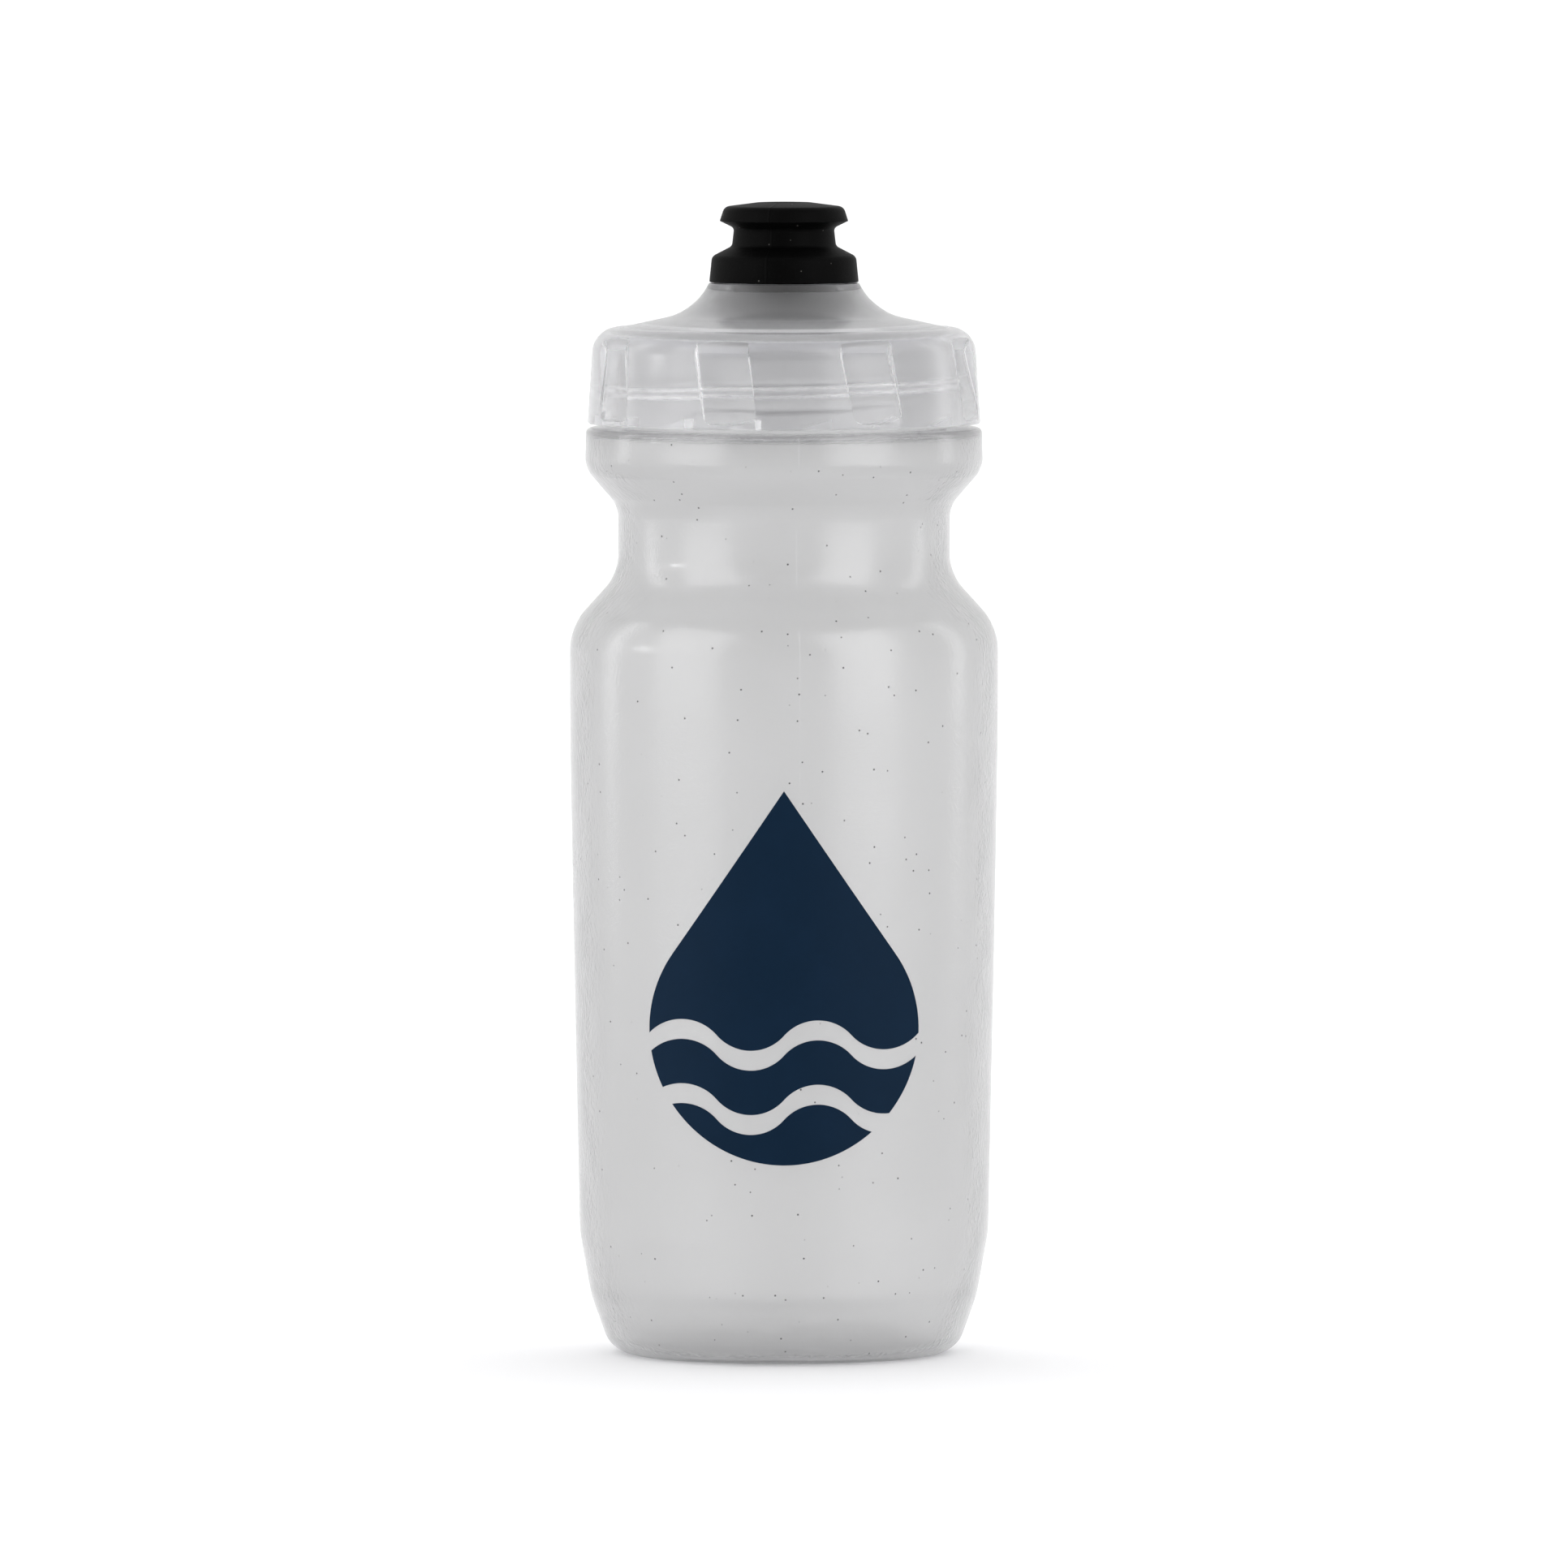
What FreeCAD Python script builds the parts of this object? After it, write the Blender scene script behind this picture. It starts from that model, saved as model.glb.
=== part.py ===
import FreeCAD, Part

import math
import os

# A bicycle water bottle with a screw cap and a push-pull nozzle, in millimetres.
# Frame: +Z up along the bottle's axis, the origin on the floor at the centre of the base ring, and -Y is
# the printed front. The bottle stands closed: cap screwed down, nozzle pushed in.
#
# Outlines are lists of corners (radius, height, fillet) in the half plane through the axis.

Vector = FreeCAD.Vector
ORIGIN = Vector(0, 0, 0)
UP = Vector(0, 0, 1)
FULL_TURN = 360.0
FILLET_SHARE = 0.98           # of a side's length that the fillets at its ends may take together
SHORTEST_EDGE = 1e-6
STRAIGHT = math.radians(89.99)     # half the opening of a corner that needs no fillet

CUT_PAST = 0.5                # cutters run at least this far past what they cut
FINE_EDGE = 0.2               # rounding of small moulded edges
SOFT_EDGE = 0.3

# ---------------------------------------------------------------- squeeze bottle, radii of its outside
BODY_RADIUS = 36.8            # widest, under the shoulder: it fills a 74 mm bottle cage
BELLY_INSET = 0.5             # the side wall widens very slightly upwards
HEEL_INSET = 1.65
KNEE_INSET = 3.6              # the heel bends here
FOOT_INSET = 7.2              # where the heel's slope would meet the floor
WAIST_DEPTH = 8.3             # groove for the cage's tang and for the fingers
NECK_RADIUS = 28.0            # wall of the neck, at the root of its thread
LEDGE_WIDTH = 6.0             # flat shelf outside the neck, under the cap
COLLAR_BULGE = 0.2            # the collar's foot stands this much beyond the ledge

# heights of its stretches, from the floor up
KNEE_HEIGHT = 10.0
HEEL_HEIGHT = 11.0
BELLY_HEIGHT = 57.0
SIDE_HEIGHT = 31.1
BAND_HEIGHT = 16.0            # upright band that the hoops of a bottle cage hold
SHOULDER_HEIGHT = 9.2
WAIST_HEIGHT = 11.6
FLARE_HEIGHT = 6.6            # from the waist out to the collar
COLLAR_HEIGHT = 6.9
NECK_HEIGHT = 13.8

# roundings, seen from the side
FOOT_FILLET = 5.0
KNEE_FILLET = 16.0
HEEL_FILLET = 12.0
BELLY_ROUNDING = 6000.0
BAND_ROUNDING = 300.0
SHOULDER_FILLET = 9.5
WAIST_LOW_FILLET = 8.0
WAIST_HIGH_FILLET = 5.0
COLLAR_FILLET = 4.5
LEDGE_FILLET = 0.9
NECK_FILLET = 0.6
LIP_FILLET = 0.5

BODY_WALL = 1.0
BASE_WALL = 1.3
NECK_WALL = 1.7

# ---------------------------------------------------------------- base
STAND_WIDTH = 6.1             # from the base ring's inner corner out to the foot
STAND_FILLET = 1.6
PUSH_UP_SLOPE_WIDTH = 4.3
PUSH_UP_HEIGHT = 2.6
PUSH_UP_CROWN = 0.4           # the middle of the base is this much higher again
PUSH_UP_FILLET = 4.0

# ---------------------------------------------------------------- thread, one start, right-handed
PITCH = 4.2
THREAD_DEPTH = 1.2            # crest above root, on the neck and in the cap alike
THREAD_ROOT_WIDTH = 2.1
THREAD_CREST_WIDTH = 0.9
THREAD_EMBED = 0.5            # how far a ridge is sunk into the wall it grows from
THREAD_RADIAL_PLAY = 0.35     # crest to root of the other thread
THREAD_FLANK_PLAY = 0.15      # along the axis, between the pressed flanks
THREAD_START = 3.8            # the neck's ridge starts this far above the ledge
THREAD_STOP = 2.8             # and its middle ends this far under the lip
THREAD_NOTCH_GAP = 0.1        # between the ratchet notches and the lowest edge of the cap's ridge
CAP_THREAD_TURNS = 1.25
THREAD_START_ANGLE = -130.0   # degrees from +X
THREAD_RUNOUT_ANGLE = 35.0    # slant of a ridge's cut end

# ---------------------------------------------------------------- screw cap, outside
CAP_SETBACK = 0.25            # cap's lower edge inside the collar's radius
CAP_GAP = 0.7                 # between the ledge and the cap's lower edge
CAP_DRAFT = 1.05              # the skirt is this much narrower at its top
CAP_ROOF = 2.15               # thickness over the gasket's seat
CAP_SHOULDER_FILLET = 4.6
CAP_FOOT_FILLET = 0.4
RING_INSET = 4.9              # the fine groove round the dome, inside the skirt's top radius
RING_WIDTH = 0.5
RING_DEPTH = 0.35
DOME_WALL = 1.45
DOME_RISE = 2.7               # of the shallow part of the dome
FLARE_OUT = 2.5               # where the dome turns up, outside the spout's step
FLARE_FILLET = 10.0
SPOUT_STEP_HEIGHT = 4.9       # of the steep part, up to the step that the nozzle sits on
SPOUT_STEP_WIDTH = 2.2

# ---------------------------------------------------------------- finger pockets in the cap's skirt
POCKET_COUNT = 8
POCKET_ANGLE = 16.3           # width, in degrees of the skirt
POCKET_PHASE = -17.4          # the first pocket's middle, in degrees from the front towards +X
POCKET_TWIST = 3.4            # degrees that its foot is turned from its head
POCKET_WALL = 1.35            # left behind the deepest place
POCKET_FOOT_DEPTH = 0.35
POCKET_FOOT = 0.8             # above the skirt's lower edge
POCKET_HEAD = 4.0             # the floor's top, below the cap's shoulder corner
POCKET_HEAD_SLOPE = 1.7       # how far the roof of a pocket leans out, up to the cap's top
POCKET_CORNER = 1.4

# ---------------------------------------------------------------- ratchet notches under the skirt
RATCHET_COUNT = 16
RATCHET_LENGTH = 6.0
RATCHET_HEIGHT = 1.75
RATCHET_PHASE = 3.5
RATCHET_LIP = 1.5             # outer rim left whole

# ---------------------------------------------------------------- gasket and its rib
GASKET_THICKNESS = 1.2
GASKET_PLAY = 0.05            # along the axis, against the lip and against the cap
GASKET_SIDE_PLAY = 0.3
RIB_WALL = 1.2
RIB_HEIGHT = 3.0
RIB_MOUTH_PLAY = 1.3          # between the rib and the bottle's mouth

# ---------------------------------------------------------------- spout
NOZZLE_TRAVEL = 6.3
SPOUT_BORE_RADIUS = 9.3       # of the retaining lip at the spout's mouth
SPOUT_WALL = 1.4
SPOUT_LIP_HEIGHT = 0.9
SPOUT_HEIGHT = 3.6            # tube above the step
SPOUT_MOUTH_FILLET = 0.4
STACK_TUBE_WALL = 1.25        # the tube under the dome that holds the valve
STACK_TUBE_DROP = 4.4         # of that tube below the seat
STACK_TUBE_GAP = 0.5          # between the tube and the dome's inside, at their top

# ---------------------------------------------------------------- nozzle: stiff core
SLIDE_PLAY = 0.08             # radial, core in the spout
BEAD_OUT = 0.45               # snap bead beyond the sleeve
BEAD_HEIGHT = 0.8
STOP_PLAY = 0.1               # bead to lip when the nozzle is pulled out
CORE_WALL = 1.25
CORE_NECK_INSET = 1.92        # neck inside the sleeve's radius
CORE_FLANGE_OUT = 1.1         # flange outside the neck's radius
CORE_PLATE = 1.3
ORIFICE_RADIUS = 3.15

# ---------------------------------------------------------------- nozzle: rubber grip
GRIP_STEP_GAP = 0.15          # between the grip's lower edge and the spout's step
GRIP_SKIRT_PLAY = 0.4         # radial, grip round the spout
GRIP_ROOF_GAP = 0.3           # grip's inner roof above the spout's mouth
GRIP_BASE_INSET = 0.05        # the grip's lower edge inside the step's edge
GRIP_BASE_DRAFT = 0.45
GRIP_SHOULDER_SKIN = 0.65     # the shoulder's corner above the inner roof
GRIP_SHOULDER_RISE = 1.8
GRIP_WAIST_SKIN = 1.65        # rubber over the core's neck, at the foot of the waist
GRIP_WAIST_DRAFT = 0.35
GRIP_WAIST_HEIGHT = 3.1
GRIP_LIP_OUT = 2.65           # the head's sharp lip outside the core's flange
GRIP_LIP_RISE = 1.2
GRIP_LIP_EDGE = 0.12
GRIP_HEAD_HEIGHT = 2.45
GRIP_HEAD_SKIN = 1.85         # the head's upper corner outside the flange
GRIP_TOP_SKIN = 0.95          # the flange below the head's upper corner
GRIP_CROWN = 0.75
GRIP_RIM_WIDTH = 1.4          # from the orifice out to the crown's top
GRIP_RIM_DISH = 0.3
GRIP_CORNER_FILLET = 0.8
GRIP_HEAD_FILLET = 1.2

# ---------------------------------------------------------------- plug insert, valve and retainer
SEAT_STEP = 0.6               # the stack's counterbore beyond the bead's bore
STACK_PLAY = 0.05             # radial, in the counterbore
STACK_RIM_WIDTH = 2.2
INSERT_RIM_HEIGHT = 1.1
INSERT_SLEEVE_PLAY = 0.16     # between the spokes and the core's foot
SPOKE_COUNT = 3
SPOKE_WIDTH = 1.6
SPOKE_HEIGHT = 1.4
POST_RADIUS = 1.7
POST_FILLET = 0.8
PLUG_PLAY = 0.07              # radial, plug in the orifice
PLUG_HEIGHT = 2.4
PLUG_DROP = 0.45              # plug's tip below the grip's crown
PLUG_FILLET = 0.5
MEMBRANE_RIM_HEIGHT = 1.0
MEMBRANE_SKIN = 0.6
MEMBRANE_SAG = 1.6
MEMBRANE_FLAT_RADIUS = 3.4
MEMBRANE_FILLET = 2.0
SLIT_WIDTH = 0.2
SLIT_LENGTH = 8.0
RETAINER_WALL = 1.9
RETAINER_HEIGHT = 1.5
RETAINER_BEAD = 0.25

# ---------------------------------------------------------------- printed front
PRINT_THICKNESS = 0.1
PRINT_ABOVE_HEEL = 45.8       # its middle
PRINT_HEIGHT = 64.0           # from the drop's foot to its tip
DROP_RADIUS = 23.0
WAVE_GAP = 3.4
WAVE_LENGTH = 23.0
WAVE_RISE = 2.6
WAVE_LEVELS = (9.5, 20.5)     # middles of the gaps, above the drop's foot

# ---------------------------------------------------------------- heights and radii that follow
BELLY_RADIUS = BODY_RADIUS - BELLY_INSET
HEEL_RADIUS = BODY_RADIUS - HEEL_INSET
KNEE_RADIUS = BODY_RADIUS - KNEE_INSET
FOOT_RADIUS = BODY_RADIUS - FOOT_INSET
WAIST_RADIUS = BODY_RADIUS - WAIST_DEPTH
STAND_RADIUS = FOOT_RADIUS - STAND_WIDTH
COLLAR_RADIUS = NECK_RADIUS + LEDGE_WIDTH
MOUTH_RADIUS = NECK_RADIUS - NECK_WALL

HEEL_Z = KNEE_HEIGHT + HEEL_HEIGHT
BELLY_Z = HEEL_Z + BELLY_HEIGHT
BAND_Z = BELLY_Z + SIDE_HEIGHT
SHOULDER_Z = BAND_Z + BAND_HEIGHT
WAIST_LOW_Z = SHOULDER_Z + SHOULDER_HEIGHT
WAIST_HIGH_Z = WAIST_LOW_Z + WAIST_HEIGHT
COLLAR_Z = WAIST_HIGH_Z + FLARE_HEIGHT
LEDGE_Z = COLLAR_Z + COLLAR_HEIGHT
LIP_Z = LEDGE_Z + NECK_HEIGHT

THREAD_SLOPE = (THREAD_ROOT_WIDTH - THREAD_CREST_WIDTH) / THREAD_DEPTH
NECK_THREAD_Z = LEDGE_Z + THREAD_START
NECK_THREAD_TURNS = (NECK_HEIGHT - THREAD_START - THREAD_STOP) / PITCH
THREAD_OVERLAP = THREAD_DEPTH - THREAD_RADIAL_PLAY
THREAD_MID_WIDTH = THREAD_CREST_WIDTH + THREAD_SLOPE * THREAD_OVERLAP / 2
CAP_THREAD_Z = NECK_THREAD_Z - THREAD_MID_WIDTH - THREAD_FLANK_PLAY

CAP_BORE_RADIUS = NECK_RADIUS + THREAD_DEPTH + THREAD_RADIAL_PLAY
CAP_FOOT_RADIUS = COLLAR_RADIUS - CAP_SETBACK
CAP_TOP_RADIUS = CAP_FOOT_RADIUS - CAP_DRAFT
RING_RADIUS = CAP_TOP_RADIUS - RING_INSET
RIB_RADIUS = MOUTH_RADIUS - RIB_MOUTH_PLAY
SPOUT_RADIUS = SPOUT_BORE_RADIUS + SPOUT_WALL
STEP_RADIUS = SPOUT_RADIUS + SPOUT_STEP_WIDTH
FLARE_RADIUS = STEP_RADIUS + FLARE_OUT

CAP_FOOT_Z = LEDGE_Z + CAP_GAP
CAP_RIDGE_FOOT_Z = CAP_FOOT_Z + RATCHET_HEIGHT + THREAD_NOTCH_GAP
CAP_THREAD_FIRST_TURN = (CAP_RIDGE_FOOT_Z + THREAD_ROOT_WIDTH / 2 - CAP_THREAD_Z) / PITCH
GASKET_SEAT_Z = LIP_Z + GASKET_THICKNESS + 2 * GASKET_PLAY
RIB_FOOT_Z = GASKET_SEAT_Z - RIB_HEIGHT
CAP_TOP_Z = GASKET_SEAT_Z + CAP_ROOF
FLARE_Z = CAP_TOP_Z + DOME_RISE
STEP_Z = FLARE_Z + SPOUT_STEP_HEIGHT
SPOUT_TOP_Z = STEP_Z + SPOUT_HEIGHT
SPOUT_LIP_Z = SPOUT_TOP_Z - SPOUT_LIP_HEIGHT

SLEEVE_RADIUS = SPOUT_BORE_RADIUS - SLIDE_PLAY
BEAD_RADIUS = SLEEVE_RADIUS + BEAD_OUT
BEAD_BORE_RADIUS = BEAD_RADIUS + SLIDE_PLAY
BEAD_TOP_Z = SPOUT_LIP_Z - STOP_PLAY - NOZZLE_TRAVEL
SLEEVE_FOOT_Z = BEAD_TOP_Z - BEAD_HEIGHT
CORE_NECK_RADIUS = SLEEVE_RADIUS - CORE_NECK_INSET
CORE_FLANGE_RADIUS = CORE_NECK_RADIUS + CORE_FLANGE_OUT

GRIP_FOOT_Z = STEP_Z + GRIP_STEP_GAP
GRIP_ROOF_Z = SPOUT_TOP_Z + GRIP_ROOF_GAP
GRIP_SHOULDER_Z = GRIP_ROOF_Z + GRIP_SHOULDER_SKIN
GRIP_WAIST_Z = GRIP_SHOULDER_Z + GRIP_SHOULDER_RISE
GRIP_NECK_Z = GRIP_WAIST_Z + GRIP_WAIST_HEIGHT
GRIP_LIP_Z = GRIP_NECK_Z + GRIP_LIP_RISE
GRIP_TOP_Z = GRIP_LIP_Z + GRIP_HEAD_HEIGHT
CROWN_Z = GRIP_TOP_Z + GRIP_CROWN
FLANGE_TOP_Z = GRIP_TOP_Z - GRIP_TOP_SKIN
FLANGE_FOOT_Z = FLANGE_TOP_Z - CORE_PLATE
CORE_NECK_Z = GRIP_ROOF_Z + CORE_NECK_INSET

SPOKE_TOP_Z = SLEEVE_FOOT_Z - INSERT_SLEEVE_PLAY
INSERT_FOOT_Z = SPOKE_TOP_Z - SPOKE_HEIGHT
SEAT_Z = INSERT_FOOT_Z + INSERT_RIM_HEIGHT
MEMBRANE_FOOT_Z = INSERT_FOOT_Z - MEMBRANE_RIM_HEIGHT
RETAINER_FOOT_Z = MEMBRANE_FOOT_Z - RETAINER_HEIGHT
RETAINER_BEAD_Z = MEMBRANE_FOOT_Z - RETAINER_HEIGHT / 2
STACK_TUBE_FOOT_Z = SEAT_Z - STACK_TUBE_DROP
STACK_BORE_RADIUS = BEAD_BORE_RADIUS + SEAT_STEP
STACK_RADIUS = STACK_BORE_RADIUS - STACK_PLAY
STACK_RIM_RADIUS = STACK_RADIUS - STACK_RIM_WIDTH
STACK_TUBE_RADIUS = STACK_BORE_RADIUS + STACK_TUBE_WALL


# ---------------------------------------------------------------- outlines

def plane_point(corner):
    """The point of a (radius, height, ...) corner in the XZ plane."""
    return Vector(corner[0], 0, corner[1])


def tangent_length(before, corner, after):
    """How much of its two sides a corner's fillet takes: none where the corner is sharp."""
    back = plane_point(before) - plane_point(corner)
    ahead = plane_point(after) - plane_point(corner)
    half_opening = back.getAngle(ahead) / 2
    if len(corner) < 3 or half_opening > STRAIGHT:
        return 0.0
    return corner[2] / math.tan(half_opening)


def corner_arc(before, corner, after, tangent):
    """Start, middle and end of the arc that rounds a corner and meets its sides at the tangent length."""
    here = plane_point(corner)
    back = plane_point(before) - here
    ahead = plane_point(after) - here
    half_opening = back.getAngle(ahead) / 2
    back.normalize()
    ahead.normalize()
    if tangent == 0:
        return here, here, here
    bisector = back + ahead
    bisector.normalize()
    to_arc = tangent / math.cos(half_opening) - tangent * math.tan(half_opening)
    return here + back * tangent, here + bisector * to_arc, here + ahead * tangent


def outline_face(corners):
    """A face in the XZ plane from closed corners (x, z, fillet). Two fillets that together are longer than
    the side between them are both made smaller until they fit on it."""
    before = corners[-1:] + corners[:-1]
    after = corners[1:] + corners[:1]
    tangents = [tangent_length(*three) for three in zip(before, corners, after)]
    fits = []
    for i, corner in enumerate(corners):
        side = (plane_point(after[i]) - plane_point(corner)).Length
        needed = tangents[i] + tangents[(i + 1) % len(corners)]
        fits.append(min(1.0, FILLET_SHARE * side / needed) if needed > 0 else 1.0)
    arcs = []
    for i, three in enumerate(zip(before, corners, after)):
        arcs.append(corner_arc(*three, tangents[i] * min(fits[i - 1], fits[i])))
    edges = []
    for (start, middle, end), following in zip(arcs, arcs[1:] + arcs[:1]):
        if (end - start).Length > SHORTEST_EDGE:
            edges.append(Part.Arc(start, middle, end).toShape())
        if (following[0] - end).Length > SHORTEST_EDGE:
            edges.append(Part.LineSegment(end, following[0]).toShape())
    return Part.Face(Part.Wire(edges))


def turned(corners):
    """The solid that closed corners sweep round the axis."""
    return outline_face(corners).revolve(ORIGIN, UP, FULL_TURN)


def offset_chain(corners, walls):
    """An open chain moved to its left by one wall for each of its sides. Fillets follow the wall."""
    sides = []
    for start, end, wall in zip(corners, corners[1:], walls):
        along = plane_point(end) - plane_point(start)
        along.normalize()
        left = Vector(-along.z, 0, along.x)
        sides.append((plane_point(start) + left * wall, along, wall))
    moved = [(sides[0][0].x, sides[0][0].z, 0)]
    for corner, (point, along, wall), (other, ahead, ahead_wall) in zip(corners[1:], sides, sides[1:]):
        cross = along.x * ahead.z - along.z * ahead.x
        gap = other - point
        reach = (gap.x * ahead.z - gap.z * ahead.x) / cross
        meeting = point + along * reach
        thickness = max(wall, ahead_wall) if cross > 0 else -min(wall, ahead_wall)
        moved.append((meeting.x, meeting.z, max(corner[2] - thickness, FINE_EDGE)))
    end = sides[-1][0] + plane_point(corners[-1]) - plane_point(corners[-2])
    moved.append((end.x, end.z, 0))
    return moved


# ---------------------------------------------------------------- thread ridges

def thread_ridge(root_radius, outward, start_z, first_turn, turns):
    """A trapezoid ridge wound on a wall: on its outside with outward 1, on its inside with outward -1.
    It starts at first_turn on the helix that begins at start_z."""
    sunk = root_radius - outward * THREAD_EMBED
    crest = root_radius + outward * THREAD_DEPTH
    sunk_half = (THREAD_ROOT_WIDTH + THREAD_SLOPE * THREAD_EMBED) / 2
    crest_half = THREAD_CREST_WIDTH / 2
    section = outline_face([(sunk, -sunk_half), (crest, -crest_half), (crest, crest_half), (sunk, sunk_half)])
    helix = Part.makeHelix(PITCH, PITCH * turns, root_radius)
    ridge = Part.Wire(helix.Edges).makePipeShell([section.OuterWire], True, True)
    for turn, direction in ((0, -1), (turns, 1)):
        ridge = ridge.cut(runout_cutter(sunk, crest, turn, direction))
    ridge.rotate(ORIGIN, UP, THREAD_START_ANGLE + FULL_TURN * first_turn)
    ridge.translate(Vector(0, 0, start_z + PITCH * first_turn))
    return ridge


def runout_cutter(sunk, crest, turn, direction):
    """A block that slants one end of a ridge, so that its crest ends before its root does."""
    size = 3 * PITCH
    outward = 1 if crest > sunk else -1
    block = Part.makeBox(size, size, PITCH)
    block.translate(Vector(-size / 2, 0 if direction > 0 else -size, -PITCH / 2))
    block.rotate(ORIGIN, UP, -direction * outward * (90 - THREAD_RUNOUT_ANGLE))
    block.translate(Vector(sunk, 0, 0))
    block.rotate(ORIGIN, UP, FULL_TURN * turn)
    block.translate(Vector(0, 0, PITCH * turn))
    return block


# ---------------------------------------------------------------- the bottle

def bottle_chain():
    """The bottle's outside, from the middle of its base up to its lip: radius, height and fillet of each
    corner, and the wall's thickness from it to the next."""
    return [
        (0, PUSH_UP_HEIGHT + PUSH_UP_CROWN, 0, BASE_WALL),
        (STAND_RADIUS - PUSH_UP_SLOPE_WIDTH, PUSH_UP_HEIGHT, PUSH_UP_FILLET, BASE_WALL),
        (STAND_RADIUS, 0, STAND_FILLET, BASE_WALL),
        (FOOT_RADIUS, 0, FOOT_FILLET, BASE_WALL),
        (KNEE_RADIUS, KNEE_HEIGHT, KNEE_FILLET, BODY_WALL),
        (HEEL_RADIUS, HEEL_Z, HEEL_FILLET, BODY_WALL),
        (BELLY_RADIUS, BELLY_Z, BELLY_ROUNDING, BODY_WALL),
        (BODY_RADIUS, BAND_Z, BAND_ROUNDING, BODY_WALL),
        (BODY_RADIUS, SHOULDER_Z, SHOULDER_FILLET, BODY_WALL),
        (WAIST_RADIUS, WAIST_LOW_Z, WAIST_LOW_FILLET, BODY_WALL),
        (WAIST_RADIUS, WAIST_HIGH_Z, WAIST_HIGH_FILLET, BODY_WALL),
        (COLLAR_RADIUS + COLLAR_BULGE, COLLAR_Z, COLLAR_FILLET, BODY_WALL),
        (COLLAR_RADIUS, LEDGE_Z, LEDGE_FILLET, BASE_WALL),
        (NECK_RADIUS, LEDGE_Z, NECK_FILLET, NECK_WALL),
        (NECK_RADIUS, LIP_Z, LIP_FILLET, NECK_WALL),
    ]


def squeeze_bottle():
    """The blow-moulded shell, open at its mouth, with the thread on its neck."""
    outside = bottle_chain()
    inside = offset_chain(outside, [corner[3] for corner in outside[:-1]])
    inside[0] = (0, inside[1][1] + PUSH_UP_CROWN, 0)
    inside[-1] = (MOUTH_RADIUS, LIP_Z, LIP_FILLET)
    shell = turned(outside + inside[::-1])
    return shell.fuse(thread_ridge(NECK_RADIUS, 1, NECK_THREAD_Z, 0, NECK_THREAD_TURNS))


def drop_face():
    """The printed drop in the XZ plane, foot at height 0: an arc closed by two tangents to its tip."""
    middle = Vector(0, 0, DROP_RADIUS)
    tip = Vector(0, 0, PRINT_HEIGHT)
    lean = math.acos(DROP_RADIUS / (tip - middle).Length)
    touch_x = DROP_RADIUS * math.sin(lean)
    touch_z = DROP_RADIUS * (1 + math.cos(lean))
    left, right = Vector(-touch_x, 0, touch_z), Vector(touch_x, 0, touch_z)
    edges = [
        Part.Arc(left, ORIGIN, right).toShape(),
        Part.LineSegment(right, tip).toShape(),
        Part.LineSegment(tip, left).toShape(),
    ]
    return Part.Face(Part.Wire(edges))


def wave_face(level):
    """A gap in the print: a ribbon of arcs, alternately up and down, wider than the drop."""
    half = WAVE_LENGTH / 2
    count = 2 * math.ceil(DROP_RADIUS / half) + 2
    start_x = -count * half / 2

    def crest_line(z):
        edges = []
        for i in range(count):
            rise = WAVE_RISE if i % 2 else -WAVE_RISE
            x = start_x + i * half
            edges.append(Part.Arc(Vector(x, 0, z), Vector(x + half / 2, 0, z + rise),
                                  Vector(x + half, 0, z)).toShape())
        return edges

    low, high = level - WAVE_GAP / 2, level + WAVE_GAP / 2
    ends = [
        Part.LineSegment(Vector(x, 0, low), Vector(x, 0, high)).toShape()
        for x in (start_x, start_x + count * half)
    ]
    return Part.Face(Part.Wire(Part.__sortEdges__(crest_line(low) + crest_line(high) + ends)))


def graphic_print():
    """The ink of a plain water drop with wave gaps, laid on the front of the bottle."""
    artwork = drop_face()
    for level in WAVE_LEVELS:
        artwork = artwork.cut(wave_face(level))
    artwork.translate(Vector(0, 0, HEEL_Z + PRINT_ABOVE_HEEL - PRINT_HEIGHT / 2))
    prism = artwork.extrude(Vector(0, -2 * BODY_RADIUS, 0))
    side = [corner for corner in bottle_chain() if HEEL_Z <= corner[1] <= SHOULDER_Z]
    film = turned(side + offset_chain(side, [-PRINT_THICKNESS] * (len(side) - 1))[::-1])
    return film.common(prism)


# ---------------------------------------------------------------- the cap

def cap_outside_chain():
    """The cap's outside from its lower edge to the spout's mouth."""
    return [
        (CAP_FOOT_RADIUS, CAP_FOOT_Z, CAP_FOOT_FILLET),
        (CAP_TOP_RADIUS, CAP_TOP_Z, CAP_SHOULDER_FILLET),
        (RING_RADIUS + RING_WIDTH, CAP_TOP_Z),
        (RING_RADIUS + RING_WIDTH, CAP_TOP_Z - RING_DEPTH),
        (RING_RADIUS, CAP_TOP_Z - RING_DEPTH),
        (RING_RADIUS, CAP_TOP_Z),
        (FLARE_RADIUS, FLARE_Z, FLARE_FILLET),
        (STEP_RADIUS, STEP_Z, SOFT_EDGE),
        (SPOUT_RADIUS, STEP_Z),
        (SPOUT_RADIUS, SPOUT_TOP_Z, SPOUT_MOUTH_FILLET),
    ]


def height_on_line(start, end, radius):
    """Height at a radius on the line through two corners."""
    share = (radius - start[0]) / (end[0] - start[0])
    return start[1] + share * (end[1] - start[1])


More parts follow.
